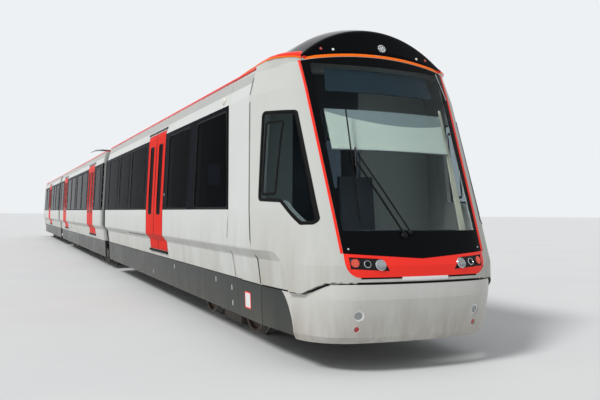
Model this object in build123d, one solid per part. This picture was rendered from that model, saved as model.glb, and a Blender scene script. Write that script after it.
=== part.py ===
from build123d import *
import math
import os

# Articulated tram-train at half scale. Millimetres.
# +X runs along the vehicle, +Y is its left side seen towards +X, +Z is up.
# The origin is in the middle of the vehicle, level with the bottoms of the wheel flanges.

os.makedirs("parts", exist_ok=True)

# Levels
rail_z = 13.5
skirt_bottom = 168.0
wall_bottom = 388.5
floor_top = 463.5
sill_z = 805.0
cant_z = 1447.5
shoulder_z = 1613.5
crown_rise = 54.5
roof_crown = shoulder_z + crown_rise
swage_low = 533.0
swage_high = 585.0

# Thicknesses and gaps
wall = 35.0
roof_thickness = 40.0
floor_thickness = 60.0
skirt_thickness = 15.0
glass = 8.0
front_glass = 12.0
seat_gap = 0.3
panel_gap = 1.5
groove_depth = 4.0
running_gap = 0.3
under = floor_top - floor_thickness
under_seat = under - seat_gap

# Body section from the bottom up: height, half width, corner radius. An arc joins the tops.
body_half = 662.5
BODY_SECTION = [
    (wall_bottom, body_half - 59.5, 0.0),
    (swage_low, body_half - 42.5, 25.0),
    (swage_high, body_half, 25.0),
    (sill_z, body_half, 0.0),
    (cant_z, body_half - 27.5, 0.0),
    (shoulder_z, body_half - 72.5, 60.0),
]
skirt_half = body_half - 62.5
skirt_top = wall_bottom - 2.0
skirt_lean = 10.0
end_frame_length = 30.0
end_frame_inset = 14.0
half_gangway = 187.5
gangway_half_width = 330.0
gangway_height = 1010.0

# What stands along each section: kind, gap before it, length
CENTRE_LAYOUT = [
    ("window", 160.0, 680.0),
    ("window", 120.0, 680.0),
    ("door", 137.5, 705.0),
    ("window", 137.5, 520.0),
]
END_LAYOUT = [
    ("window", 278.0, 676.5),
    ("window", 143.0, 588.5),
    ("window", 150.0, 718.5),
    ("door", 133.5, 705.0),
    ("window", 136.5, 668.5),
    ("raked window", 191.0, 778.5),
]
centre_end_gap = 229.5
cab_gap = 413.0
cab_length = 647.5
window_rake = 115.0


def lay_out(layout, start):
    """Spans of each kind from a start, and where the last one ends."""
    spans = {"window": [], "door": [], "raked window": []}
    x = start
    for kind, gap, length in layout:
        spans[kind].append((x + gap, x + gap + length))
        x += gap + length
    return spans, x


def mirrored(spans):
    return spans + [(-x1, -x0) for x0, x1 in spans]


centre_spans, centre_last = lay_out(CENTRE_LAYOUT, 0.0)
CENTRE_WINDOWS = mirrored(centre_spans["window"])
CENTRE_DOORS = mirrored(centre_spans["door"])
centre_end = centre_last + centre_end_gap
pivot_x = centre_end + half_gangway
end_start = pivot_x + half_gangway
end_spans, end_last = lay_out(END_LAYOUT, end_start)
END_WINDOWS = end_spans["window"]
END_DOORS = end_spans["door"]
raked_window = end_spans["raked window"][0]
cab_start = end_last + cab_gap
lamp_x = cab_start + cab_length

# Side windows and doors
window_low = sill_z + 7.0
window_high = cant_z - 34.0
window_radius = 30.0
door_low = floor_top - 13.5
door_high = cant_z + 41.0
door_window_low = sill_z - 45.0
door_window_high = cant_z - 67.5
door_window_width = 150.0
door_window_radius = 25.0
leaf_gap = 3.0

# Nose: the front plane leans back by this much for each millimetre up
rake = 0.397
crown_drop = 77.5
front_step = 18.0
nose_back = cab_start - 525.0
nose_bottom = skirt_bottom - 16.5
dome_top = roof_crown + 205.5
nose_top = dome_top + 26.5


def raked_x(z):
    """Front of the nose on the centre line above the lamp panel."""
    return lamp_x + front_step - rake * (z - swage_high)


def between(table, z):
    """Value at a height, on the straight lines between the rows of a table."""
    for (z0, v0), (z1, v1) in zip(table, table[1:]):
        if z <= z1:
            return v0 + (v1 - v0) * (z - z0) / (z1 - z0)
    return table[-1][1]


def half_width(z):
    return between([(height, half) for height, half, _ in BODY_SECTION], z)


def skirt_y(z):
    """Half width over the skirts, which lean in towards the foot."""
    return skirt_half - skirt_lean * (skirt_top - z) / (skirt_top - skirt_bottom)


# Joint between saloon and cab, and the thinner joint behind it: height, distance from cab_start
CAB_JOINT = [(nose_bottom - 50.0, 7.5), (swage_low, 0.0), (sill_z, -32.5), (shoulder_z, -132.5),
             (nose_top, -168.0)]
PANEL_JOINT = [(wall_bottom, -407.0), (sill_z, -397.5), (shoulder_z, -512.5), (roof_crown, -522.0)]

# Nose in plan at each height: z, front from lamp_x, corner from the body's side, corner radius
bumper_face = 45.0
NOSE = [
    (nose_bottom, -25.0, 132.5, 270.0),
    (skirt_bottom + 18.0, 5.0, 117.5, 285.0),
    (skirt_bottom + 125.0, 30.0, 110.5, 300.0),
    (wall_bottom - 18.5, bumper_face, 110.5, 300.0),
    (wall_bottom, bumper_face, 110.5, 300.0),
    (swage_low, raked_x(swage_low) - lamp_x, 110.5, 300.0),
    (swage_high, raked_x(swage_high) - lamp_x, 110.5, 300.0),
    (sill_z, raked_x(sill_z) - lamp_x, 112.5, 280.0),
    (cant_z, raked_x(cant_z) - lamp_x, 134.5, 230.0),
    (shoulder_z, raked_x(shoulder_z) - lamp_x, 157.5, 215.0),
    (nose_top, raked_x(nose_top) - lamp_x, 192.5, 190.0),
]
nose_top_half = body_half - 122.5

# Front glass and lamp panel, seen from the front: half widths and heights
bumper_line_z = wall_bottom + 62.5
panel_low_z = bumper_line_z + 26.0
v_tip_z = panel_low_z + 87.5
glass_low_z = panel_low_z + 115.0
glass_low_y = 412.5
glass_high_y = 454.0
glass_high_z = shoulder_z - 7.5
glass_crown_z = roof_crown - 18.0
panel_corner = 75.0
housing_depth = 4.0

# Lamps: kind, y, height over the panel's or the bumper's lower line, radius
PANEL_LAMPS = [("indicator", 365.0, 70.0, 23.0), ("low", 305.0, 65.0, 17.0), ("main", 237.5, 60.0, 26.0)]
BUMPER_LAMPS = [("fog", 343.0, 125.0, 27.0), ("tail", 344.5, 58.5, 15.0)]
# Dark housing round the panel's lamps: y, height over the panel's lower line
HOUSING = [(392.0, 98.0), (226.0, 88.0), (190.0, 30.0), (388.0, 42.0)]

# Black hood
dome_half = 463.0
dome_foot_z = shoulder_z + 5.5
dome_back = cab_start - 425.0
dome_round = 215.0
back_lean = 0.45
plan_radius = 1684.0

# Sole bars, with pads for jacks under them
sole_inner = 540.0
sole_outer = skirt_half - 18.0
sole_bottom = under - 73.5
wall_inner = half_width(wall_bottom) - wall - seat_gap
jack_face_z = sole_bottom - 8.0
jack_y = (sole_inner + sole_outer) / 2

# Bogies and wheelsets
end_bogie_x = cab_start - 1102.5
centre_bogie_x = centre_end - 1119.5
end_jack_x = end_bogie_x - 802.5
centre_jack_x = centre_bogie_x - 820.0
wheelbase = 950.0
tread_r = 180.0
flange_r = tread_r + rail_z
axle_z = flange_r
axle_r = 37.5
beam_y = 262.0
bogie_top = under - 20.5
pin_r = 40.0
knuckle_z = under - 88.5
knuckle_r = 70.0

# Pantograph
panto_pivot_x = 640.0
panto_pivot_z = roof_crown + 100.0
panto_arm = 850.0
panto_rise = 26.0
panto_pin_r = 12.0
knee_pin_r = 8.0
# Thrust rod: its lower pin from the main pivot, and the lug beyond the knee that it pulls on
thrust_back = 170.0
thrust_drop = 65.0
lug_length = 80.0
lug_angle = 20.0
thrust_y = 36.0
thrust_half = 7.0
thrust_pin_r = 5.0


def side_prism(points, y_from, y_to):
    """Prism across the vehicle from (x, z) points."""
    face = make_face(Polyline(*[(x, 0, z) for x, z in points], close=True).edges())
    return extrude(Pos(0, y_from, 0) * face, amount=y_to - y_from, dir=(0, 1, 0))


def box_between(low, high):
    size = [h - l for l, h in zip(low, high)]
    middle = [(l + h) / 2 for l, h in zip(low, high)]
    return Pos(*middle) * Box(*size)


def both_sides(shape):
    return [shape, mirror(shape, about=Plane.XZ)]


def fuse(shapes):
    return shapes[0].fuse(*shapes[1:])


def body_face(x, inset, bottom, top_inset):
    """Body section at x, inset from the outer skin and cut off at a bottom level."""
    rows = [row for row in BODY_SECTION if row[0] > bottom]
    right = [(x, half_width(bottom) - inset, bottom)]
    right += [(x, y - inset, z) for z, y, _ in rows[:-1]]
    right.append((x, rows[-1][1] - inset, rows[-1][0] - top_inset))
    left = [(x, -y, z) for _, y, z in reversed(right)]
    edges = Polyline(*right).edges() + Polyline(*left).edges()
    edges += [ThreePointArc(right[-1], (x, 0, roof_crown - top_inset), left[0]).edge()]
    edges += [Line(left[-1], right[0]).edge()]
    face = make_face(edges)
    if inset > end_frame_inset:
        return face
    for (_, _, radius), (_, _, z) in zip(rows, right[1:]):
        if radius:
            face = fillet([v for v in face.vertices() if abs(v.Z - z) < 0.01], radius)
    return face


def body_run(x_from, x_to, inset=0.0, bottom=wall_bottom, top_inset=None):
    """Solid length of the body section. The outer skin has rounded corners, inner faces have sharp ones."""
    top_inset = inset if top_inset is None else top_inset
    return extrude(body_face(x_from, inset, bottom, top_inset), amount=x_to - x_from, dir=(1, 0, 0))


def joint_points(table, shift):
    return [(cab_start + x + shift, z) for z, x in table]


def joint_prism(shift, behind):
    """Everything behind or ahead of the joint between saloon and cab."""
    line = joint_points(CAB_JOINT, shift)
    far = line[0][0] + (-2.0 if behind else 2.0) * cab_length
    return side_prism(line + [(far, line[-1][1]), (far, line[0][1])], -body_half - 100, body_half + 100)


def nose_plan(row, inset, proud):
    """Plan of the nose at one height; proud keeps the full body width below the swage."""
    z, front, corner_inset, radius = row
    shoulder_x = cab_start + between(CAB_JOINT, z)
    shoulder_y = half_width(z) if z < nose_top else nose_top_half
    if z < wall_bottom:
        shoulder_y = skirt_y(z)
    if proud and wall_bottom - 50 < z < swage_high:
        shoulder_y = body_half
    tip = (lamp_x + front - inset, 0, z)
    right = (tip[0] - crown_drop, body_half - corner_inset - inset, z)
    shoulder = (shoulder_x, shoulder_y - inset, z)
    back = (nose_back, shoulder_y - inset, z)
    turned = [(x, -y, h) for x, y, h in (back, shoulder, right)]
    edges = ThreePointArc(turned[2], tip, right).edges()
    edges += Polyline(right, shoulder, back, turned[0], turned[1], turned[2]).edges()
    face = make_face(edges)
    corners = [v for v in face.vertices() if abs(v.X - right[0]) < 0.01]
    return fillet(corners, radius - inset)


def nose_run(inset=0.0, proud=False):
    return loft([nose_plan(row, inset, proud) for row in NOSE], ruled=True)


def window_punch(x_from, x_to, low, high, radius, shrink=0.0, x_top=None):
    """Rounded prism across the vehicle for a side window, or for its pane if shrunk."""
    x_top = x_to if x_top is None else x_top
    a, b, c = x_from + shrink, x_to - shrink, x_top - shrink
    z0, z1 = low + shrink, high - shrink
    face = make_face(Polyline((a, 0, z0), (b, 0, z0), (c, 0, z1), (a, 0, z1), close=True).edges())
    face = fillet(face.vertices(), radius - shrink)
    return extrude(Pos(0, -body_half - 100, 0) * face, amount=2 * body_half + 200, dir=(0, 1, 0))


def raked_punch(shrink):
    x0, x1 = raked_window
    return window_punch(x0, x1, window_low, window_high, window_radius, shrink, x1 - window_rake)


def solids_of(shapes):
    out = []
    for shape in shapes:
        out.extend(shape.solids())
    return out


def write(name, shapes, turned=False):
    """Write one node; turned puts it at the far end of the vehicle."""
    pieces = solids_of(shapes)
    if turned:
        pieces = [Rot(0, 0, 180) * piece for piece in pieces]
    export_step(Compound(children=pieces) if len(pieces) > 1 else pieces[0], f"parts/{name}.step")


# Saloon shells

def gangway_cut(x):
    top = floor_top + gangway_height
    return box_between((x - 100, -gangway_half_width, floor_top), (x + 100, gangway_half_width, top))


def leaf_spans(doors):
    """Both leaves of each doorway: rear x, front x."""
    spans = []
    for x0, x1 in doors:
        middle = (x0 + x1) / 2
        spans += [(x0 + leaf_gap, middle - leaf_gap / 2), (middle + leaf_gap / 2, x1 - leaf_gap)]
    return spans


def door_punch(leaf, shrink=0.0):
    centre = (leaf[0] + leaf[1]) / 2
    half = door_window_width / 2
    return window_punch(centre - half, centre + half, door_window_low, door_window_high,
                        door_window_radius, shrink)


def door_leaves(doors):
    """Curved leaves with their tall windows cut."""
    leaves = []
    for x0, x1 in leaf_spans(doors):
        block = box_between((x0, -body_half - 50, door_low + seat_gap),
                            (x1, body_half + 50, door_high - leaf_gap))
        ring = body_run(x0 - 5, x1 + 5) - body_run(x0 - 10, x1 + 10, wall)
        leaves.append((ring & block) - door_punch((x0, x1)))
    return leaves


def pane_layer(x_from, x_to):
    return body_run(x_from, x_to, 1.0) - body_run(x_from - 5, x_to + 5, 1.0 + glass)


def saloon_panes(windows, doors):
    panes = []
    for x0, x1 in windows:
        hole = window_punch(x0, x1, window_low, window_high, window_radius, seat_gap)
        panes.append(pane_layer(x0, x1) & hole)
    for leaf in leaf_spans(doors):
        panes.append(pane_layer(*leaf) & door_punch(leaf, seat_gap))
    return panes


def shell_cuts(shell, windows, doors):
    for x0, x1 in windows:
        shell -= window_punch(x0, x1, window_low, window_high, window_radius)
    for x0, x1 in doors:
        shell -= box_between((x0, -body_half - 50, door_low), (x1, body_half + 50, door_high))
    return shell


def end_ring(x, side):
    """Recessed end frame that the bellows are bolted to."""
    inner = x - side * (end_frame_length + 1)
    return body_run(min(x, inner), max(x, inner), end_frame_inset)


# Seats and poles. Profiles: x ahead of the backrest's foot, height over the cushion's underside
SEAT_CUSHION = [(-10, 0), (205, 0), (215, 25), (205, 45), (-10, 38)]
SEAT_BACK = [(-12, 38.3), (28, 39.6), (-20, 330), (-45, 330), (-50, 300)]
seat_height = 190.0
seat_y = 330.0
seat_half_width = 210.0
bay_gap = 80.0
door_clear = 132.5
pole_r = 10.0
pole_y = 430.0
pole_gap = 20.0


def seat_pair(x, side, facing):
    """Double seat on a pedestal; its backrest leans away from where it faces."""
    z = floor_top + seat_height
    pieces = []
    for profile in (SEAT_CUSHION, SEAT_BACK):
        points = [(x + facing * px, z + pz) for px, pz in profile]
        pieces.append(side_prism(points, side * seat_y - seat_half_width, side * seat_y + seat_half_width))
    pieces.append(box_between((x + facing * 100 - 30, side * seat_y - 60, floor_top + seat_gap),
                              (x + facing * 100 + 30, side * seat_y + 60, z - seat_gap)))
    return pieces


def seat_bays(start, end, count):
    """Facing rows of seats: rear x and direction of each row."""
    length = (end - start - (count - 1) * bay_gap) / count
    rows = []
    for i in range(count):
        x = start + i * (length + bay_gap)
        rows += [(x, 1), (x + length, -1)]
    return rows


def seats(rows):
    return [piece for x, facing in rows for side in (-1, 1) for piece in seat_pair(x, side, facing)]


def poles(doors):
    """Grab poles from floor to ceiling on both sides of each doorway."""
    out = []
    for x0, x1 in doors:
        for x in (x0 - pole_gap, x1 + pole_gap):
            room = body_run(x - 50, x + 50, wall + seat_gap, floor_top + seat_gap, roof_thickness + seat_gap)
            for side in (-1, 1):
                out.append(Pos(x, side * pole_y, roof_crown / 2) * Cylinder(pole_r, roof_crown) & room)
    return out


# Underframe: what carries each section

def underframe(x_from, x_to, bogies, cases, jacks):
    """Floor plate with sole bars, jacking pads, bogie pins, side bearers and underfloor cases."""
    plate = body_run(x_from, x_to, wall + seat_gap, under)
    parts = [plate & box_between((x_from, -body_half, under), (x_to, body_half, floor_top))]
    for side in (-1, 1):
        sole = [(sole_inner, sole_bottom), (sole_outer, sole_bottom), (sole_outer, sole_bottom + 20),
                (wall_inner, wall_bottom - seat_gap), (wall_inner, under_seat), (sole_inner, under_seat)]
        face = make_face(Polyline(*[(x_from, side * y, z) for y, z in sole], close=True).edges())
        parts.append(extrude(face, amount=x_to - x_from, dir=(1, 0, 0)))
        for x in jacks:
            parts.append(box_between((x - 40, side * jack_y - 20, jack_face_z),
                                     (x + 40, side * jack_y + 20, sole_bottom - seat_gap)))
        for x in bogies:
            parts.append(box_between((x - 75, side * beam_y - 75, bogie_top + seat_gap),
                                     (x + 75, side * beam_y + 75, under_seat)))
    pin_low = bogie_top - 51
    for x in bogies:
        parts.append(Pos(x, 0, (under_seat + pin_low) / 2) * Cylinder(pin_r, under_seat - pin_low))
    for x0, x1, half, depth in cases:
        case = box_between((x0, -half, under - depth), (x1, half, under_seat))
        parts.append(fillet(case.edges().filter_by(Axis.X).group_by(Axis.Z)[0], 20.0))
    return parts


def skirt_panels(joints):
    """Skirt panels between vertical joints, on both sides."""
    levels = (skirt_top, skirt_bottom)
    outline = [(skirt_y(z), z) for z in levels]
    outline += [(y - skirt_thickness, z) for y, z in reversed(outline)]
    panels = []
    for x0, x1 in zip(joints, joints[1:]):
        face = make_face(Polyline(*[(x0 + panel_gap, y, z) for y, z in outline], close=True).edges())
        panels += both_sides(extrude(face, amount=x1 - x0 - 2 * panel_gap, dir=(1, 0, 0)))
    return panels


# Roof cases: half width, corner rounding, louvres in the sides and a fan well in the lid
case_half = 330.0
case_round = 45.0
louvre_pitch = 90.0
louvre_size = (60.0, 6.0, 26.0)
fan_r = 150.0


def roof_case(x0, x1, height):
    """Roof case on two bearers that follow the roof's curve."""
    base = roof_crown + 12
    top = roof_crown + height
    case = box_between((x0, -case_half, base), (x1, case_half, top))
    case = fillet(case.edges().filter_by(Axis.X).group_by(Axis.Z)[-1], case_round)
    case = fillet(case.edges().group_by(Axis.Z)[-1], 12.0)
    long, deep, high = louvre_size
    count = int((x1 - x0 - 200) // louvre_pitch)
    first = (x0 + x1 - (count - 1) * louvre_pitch) / 2
    for i in range(count):
        x = first + i * louvre_pitch
        slot = box_between((x - long / 2, case_half - deep, base + 20),
                           (x + long / 2, case_half + 1, base + 20 + high))
        case = case - slot - mirror(slot, about=Plane.XZ)
    case -= Pos((x0 + x1) / 2, 0, top) * Cylinder(fan_r, 36)
    bearers = [box_between((x, -case_half + 30, shoulder_z - 6), (x + 60, case_half - 30, base + 1))
               for x in (x0 + 100, x1 - 160)]
    return fuse([case] + bearers) - body_run(x0 - 10, x1 + 10, 0.0, wall_bottom, -seat_gap)


# End sections: saloon
saloon = fuse([body_run(end_start + end_frame_length, cab_start + 75), end_ring(end_start, -1)])
saloon &= joint_prism(-panel_gap / 2, True) + body_run(end_start - 5, cab_start - 400, -20.0)
saloon -= body_run(end_start + wall, cab_start + 175, wall, wall_bottom - 10, roof_thickness)
saloon -= gangway_cut(end_start)
saloon = shell_cuts(saloon, END_WINDOWS, END_DOORS) - raked_punch(0.0)
groove = joint_points(PANEL_JOINT, -panel_gap) + list(reversed(joint_points(PANEL_JOINT, panel_gap)))
groove_floor = body_run(cab_start - 625, cab_start - 325, groove_depth, wall_bottom - 10)
saloon -= side_prism(groove, -body_half, body_half) - groove_floor

panes = saloon_panes(END_WINDOWS, END_DOORS)
panes.append(pane_layer(*raked_window) & raked_punch(seat_gap))

# End sections: the nose, split into cab shell, windscreen, lamp panel, bumper and skirt
nose_outer = nose_run()
nose_proud = nose_run(0.0, True)
nose_inner = nose_run(wall)
ahead = joint_prism(panel_gap / 2, False)


def under_roof(drop):
    """Room under the roof over the whole cab, for cutting the nose to the body section."""
    roof = body_run(nose_back - 10, lamp_x + 200, -0.5, wall_bottom - 5, 0.0)
    wide = box_between((nose_back - 10, -body_half - 100, 0), (lamp_x + 200, body_half + 100, cant_z + 50))
    return Pos(0, 0, -drop) * (roof + wide)


# Lower edge of the cab panels, stepped up behind the front corners
edge_back, edge_step, edge_front = cab_start - 325, lamp_x - 168, lamp_x - 50
front_end = lamp_x + 130
lower_edge = [(edge_back, wall_bottom), (edge_step, wall_bottom), (edge_front, bumper_line_z),
              (front_end, bumper_line_z)]
bumper_edge = [(x, z - 2 * panel_gap) for x, z in lower_edge]
above_line = side_prism(lower_edge + [(front_end, nose_top + 100), (edge_back, nose_top + 100)], -800, 800)
below_line = side_prism(bumper_edge + [(front_end, 100), (edge_back, 100)], -800, 800)

# The swage ends in a curve that turns down ahead of the cab joint, with a bevelled step
swage_end_x = cab_start + 381.0
swage_turn_x = cab_start + 165.0
step_bevel = 25.0
step_y = body_half - 45.0
swage_gap = 0.2


def swage_recess(side):
    """Region behind the curve and under the swage, slanting with depth."""
    low, high = wall_bottom - 30, swage_high + 60
    lines = Polyline((swage_turn_x, 0, swage_high + 2), (swage_turn_x, 0, high), (cab_start - 100, 0, high),
                     (cab_start - 100, 0, low), (swage_end_x, 0, low), (swage_end_x, 0, wall_bottom))
    curve = ThreePointArc((swage_end_x, 0, wall_bottom), (swage_end_x - 48, 0, swage_low - 25),
                          (swage_turn_x, 0, swage_high + 2))
    face = make_face(lines.edges() + curve.edges())
    depth = 120.0
    slant = step_bevel / 65.0
    lead = slant * (body_half + 20 - step_y)
    run = (-slant, -side, -slant)
    size = depth * math.sqrt(1 + 2 * slant ** 2)
    return extrude(Pos(lead, side * (body_half + 20), lead) * face, amount=size, dir=run)


recess = (swage_recess(1) + swage_recess(-1)) - nose_run(-swage_gap)


def front_prism(face):
    """Prism along the vehicle from a front-view face."""
    return extrude(Pos(cab_start - 125, 0, 0) * face, amount=cab_length + 350, dir=(1, 0, 0))


def glass_face(grow):
    low_y, high_y = glass_low_y + grow, glass_high_y + grow
    low_z, tip_z = glass_low_z - grow, v_tip_z - grow
    high_z, crown_z = glass_high_z + grow, glass_crown_z + grow
    line = Polyline((0, -high_y, high_z), (0, -low_y, low_z), (0, 0, tip_z), (0, low_y, low_z),
                    (0, high_y, high_z))
    arc = ThreePointArc((0, high_y, high_z), (0, 0, crown_z), (0, -high_y, high_z))
    return make_face(line.edges() + arc.edges())


def panel_face(grow):
    low_y, foot = glass_low_y + grow, panel_low_z - grow
    low_z, tip_z = glass_low_z - seat_gap * 2 + grow, v_tip_z - seat_gap * 2 + grow
    face = make_face(Polyline((0, -low_y, low_z), (0, 0, tip_z), (0, low_y, low_z), (0, low_y, foot),
                              (0, -low_y, foot), close=True).edges())
    return fillet([v for v in face.vertices() if abs(v.Z - foot) < 0.01], panel_corner + grow)


nose_shell = ((nose_proud & under_roof(0.0)) - (nose_inner & under_roof(roof_thickness))) & ahead
cab = (nose_shell & above_line) - recess
cab = cab - front_prism(glass_face(seat_gap)) - front_prism(panel_face(seat_gap))

# Cab side window, x from cab_start and z of its corners
CAB_WINDOW = [(27.0, cant_z - 114.5), (263.0, cant_z - 131.5), (507.0, sill_z - 67.0), (431.0, sill_z - 70.0),
              (262.0, sill_z + 44.0), (63.0, sill_z + 52.0)]


def cab_window_punch(shrink):
    face = make_face(Polyline(*[(cab_start + x, 0, z) for x, z in CAB_WINDOW], close=True).edges())
    face = fillet(face.vertices(), 18.0)
    if shrink:
        face = offset(face, -shrink)
    return extrude(Pos(0, -800, 0) * face, amount=1600, dir=(0, 1, 0))


cab -= cab_window_punch(0.0)
panes.append((nose_run(1.0) - nose_run(1.0 + glass)) & cab_window_punch(seat_gap) & ahead)

front_layer = nose_outer - nose_run(front_glass)
windscreen = front_layer & front_prism(glass_face(0.0))
lamp_panel = front_layer & front_prism(panel_face(0.0))
for side in (-1, 1):
    outline = [(0, side * y, panel_low_z + z) for y, z in HOUSING]
    housing = make_face(Polyline(*outline, close=True).edges())
    housing = front_prism(fillet(housing.vertices(), 14.0))
    lamp_panel -= housing - nose_run(housing_depth)

# Skirt front: its front edge curves forward as it goes down
curve_low, curve_mid, curve_high = lamp_x - 284, lamp_x - 318, lamp_x - 402
skirt_line = Polyline((curve_high, 0, wall_bottom), (edge_back, 0, wall_bottom), (edge_back, 0, 100.0),
                      (curve_low + 8, 0, 100.0), (curve_low, 0, skirt_bottom))
skirt_arc = ThreePointArc((curve_low, 0, skirt_bottom), (curve_mid, 0, wall_bottom - 88.5),
                          (curve_high, 0, wall_bottom))
skirt_curve = make_face(skirt_line.edges() + skirt_arc.edges())
skirt_region = extrude(Pos(0, -800, 0) * skirt_curve, amount=1600, dir=(0, 1, 0))
lower_shell = (nose_outer - nose_inner) & below_line & ahead
bumper = lower_shell - Pos(panel_gap, 0, 0) * skirt_region
skirt_floor = box_between((edge_back, -800, skirt_bottom), (lamp_x + 130, 800, wall_bottom + 100))
cab_skirt = (nose_outer - nose_run(skirt_thickness)) & below_line & ahead & skirt_region & skirt_floor

lamps = []
for kind, y, height, radius in PANEL_LAMPS:
    for side in (-1, 1):
        place = Pos(lamp_x, side * y, panel_low_z + height) * Rot(0, 90, 0)
        lamps.append(place * Cylinder(radius, 90) & front_layer)
        lamp_panel -= place * Cylinder(radius + seat_gap, 300)
for kind, y, height, radius in BUMPER_LAMPS:
    for side in (-1, 1):
        place = Pos(lamp_x, side * y, skirt_bottom + height) * Rot(0, 90, 0)
        lamps.append(place * Cylinder(radius, 300) & (nose_run(6.0) - nose_run(24.0)))
        bumper -= place * Cylinder(radius + seat_gap, 300)

# Black hood over the windscreen: an arch whose front leans back, with its rim and its crown line rounded
arch_face = make_face(
    ThreePointArc((0, -dome_half, dome_foot_z), (0, 0, dome_top), (0, dome_half, dome_foot_z)).edges()
    + Polyline((0, dome_half, dome_foot_z), (0, dome_half, cant_z), (0, -dome_half, cant_z),
               (0, -dome_half, dome_foot_z)).edges())
arch = extrude(Pos(dome_back, 0, 0) * arch_face, amount=lamp_x - dome_back, dir=(1, 0, 0))


def swept(face):
    """Side profile swept round a far upright axis, which gives the front its curve in plan."""
    turn_x = raked_x(shoulder_z) - plan_radius
    solid = revolve(face, Axis((turn_x, 0, 0), (0, 0, 1)), 40)
    return Pos(turn_x, 0, 0) * Rot(0, 0, -20) * Pos(-turn_x, 0, 0) * solid


lean_top = nose_top + 100
back_x = dome_back + back_lean * (lean_top - cant_z)
lean = Polyline((back_x, 0, lean_top), (dome_back, 0, cant_z), (raked_x(cant_z), 0, cant_z),
                (raked_x(lean_top), 0, lean_top), close=True)
hood = arch & swept(make_face(lean.edges()))
front_edges = [e for e in hood.edges() if e.center().X > raked_x(dome_top) - 200]
rim = [e for e in front_edges if e.bounding_box().max.Z > dome_top - 5]
hood = fillet(rim, dome_round)
lean_angle = math.atan(rake)
turn_z = shoulder_z + 16.0
crown_round = (dome_top - turn_z) / (1 - math.sin(lean_angle))
crown_start = raked_x(turn_z) - crown_round * math.cos(lean_angle)
mid_angle = (math.pi / 2 + lean_angle) / 2
crown_mid = (crown_start + crown_round * math.cos(mid_angle), 0,
             dome_top - crown_round + crown_round * math.sin(mid_angle))
crown_line = Polyline((crown_start, 0, dome_top), (dome_back, 0, dome_top), (dome_back, 0, cant_z),
                      (raked_x(cant_z), 0, cant_z), (raked_x(turn_z), 0, turn_z))
crown_arc = ThreePointArc((raked_x(turn_z), 0, turn_z), crown_mid, (crown_start, 0, dome_top))
hood &= swept(make_face(crown_line.edges() + crown_arc.edges()))
hood = (hood & nose_outer) - under_roof(-seat_gap)

# Underframe, floor and coupling tongue of an end section
end_cases = [(end_start + 555.5, end_start + 1555.5, 380, 190),
             (end_start + 1705.5, end_start + 2605.5, 420, 200)]
end_frame = underframe(end_start + wall + seat_gap, cab_start - 75, [end_bogie_x], end_cases, [end_jack_x])
cab_floor_x = cab_start - 75 + seat_gap
cab_floor = box_between((cab_floor_x, -body_half, under), (lamp_x - 92.5, body_half, floor_top))
end_frame.append(nose_run(wall + seat_gap) & cab_floor)
end_frame.append(box_between((cab_floor_x, -300, under - 103.5), (lamp_x - 192.5, 300, under_seat)))
tongue = fuse([box_between((pivot_x, -45, knuckle_z - 24.7), (end_start + 400, 45, knuckle_z + 24.7)),
               Pos(pivot_x, 0, knuckle_z) * Cylinder(knuckle_r, 49.4),
               box_between((end_start + 60, -60, knuckle_z - 24.7), (end_start + 400, 60, under_seat))])
end_frame.append(tongue - Pos(pivot_x, 0, knuckle_z) * Cylinder(pin_r + running_gap, 200))

# Driver's desk, seat and the partition behind them
desk_x = lamp_x - 172.5
desk = [side_prism([(desk_x - 200, floor_top + seat_gap), (desk_x - 40, floor_top + seat_gap),
                    (desk_x, floor_top + 176.2), (desk_x - 160, floor_top + 176.2)], -380, 380),
        side_prism([(desk_x - 240, floor_top + 176.5), (desk_x, floor_top + 176.5),
                    (desk_x - 40, floor_top + 236.5), (desk_x - 240, floor_top + 226.5)], -380, 380)]
chair_x = cab_start + 5.0
driver_seat = [side_prism([(chair_x, floor_top + 176.5), (chair_x + 150, floor_top + 176.5),
                           (chair_x + 160, floor_top + 206.5), (chair_x + 10, floor_top + 216.5)], -110, 110),
               side_prism([(chair_x - 20, floor_top + 216.8), (chair_x + 20, floor_top + 216.8),
                           (chair_x - 20, floor_top + 536.5), (chair_x - 50, floor_top + 536.5)], -110, 110),
               box_between((chair_x + 50, -50, floor_top + seat_gap), (chair_x + 120, 50, floor_top + 176.2))]
wall_x = cab_start - 205.0
partition = body_run(wall_x, wall_x + 30, wall + seat_gap, floor_top + seat_gap, roof_thickness + seat_gap)
partition -= box_between((wall_x - 20, -120, sill_z + 95), (wall_x + 80, 120, cant_z - 47.5))
last_door = END_DOORS[-1]
end_rows = seat_bays(end_start + 155.5, last_door[0] - door_clear, 3)
end_rows += seat_bays(last_door[1] + door_clear, cab_start - 455, 2)
interior_end = seats(end_rows) + poles(END_DOORS) + desk + driver_seat + [partition]
end_joints = [end_start + x for x in (0.0, 755.5, 1555.5, 2355.5, 3155.5)]
end_joints += [end_bogie_x + x for x in (-765.5, 0.0, 707.5)] + [cab_start]
end_skirts = skirt_panels(end_joints) + [cab_skirt]
end_roof = [roof_case(end_start + start, end_start + start + length, height)
            for start, length, height in ((3355.5, 1400, 117), (1655.5, 1400, 112), (355.5, 1000, 100))]

for name, turned in (("a", False), ("c", True)):
    write(f"body_{name}", [saloon], turned)
    write(f"windows_{name}", panes, turned)
    write(f"doors_{name}", door_leaves(END_DOORS), turned)
    write(f"cab_{name}", [cab], turned)
    write(f"windscreen_{name}", [windscreen], turned)
    write(f"lamp_panel_{name}", [lamp_panel], turned)
    write(f"lamps_{name}", lamps, turned)
    write(f"bumper_{name}", [bumper], turned)
    write(f"hood_{name}", [hood], turned)
    write(f"skirts_{name}", end_skirts, turned)
    write(f"underframe_{name}", end_frame, turned)
    write(f"interior_{name}", interior_end, turned)
    write(f"roof_gear_{name}", end_roof, turned)

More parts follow.
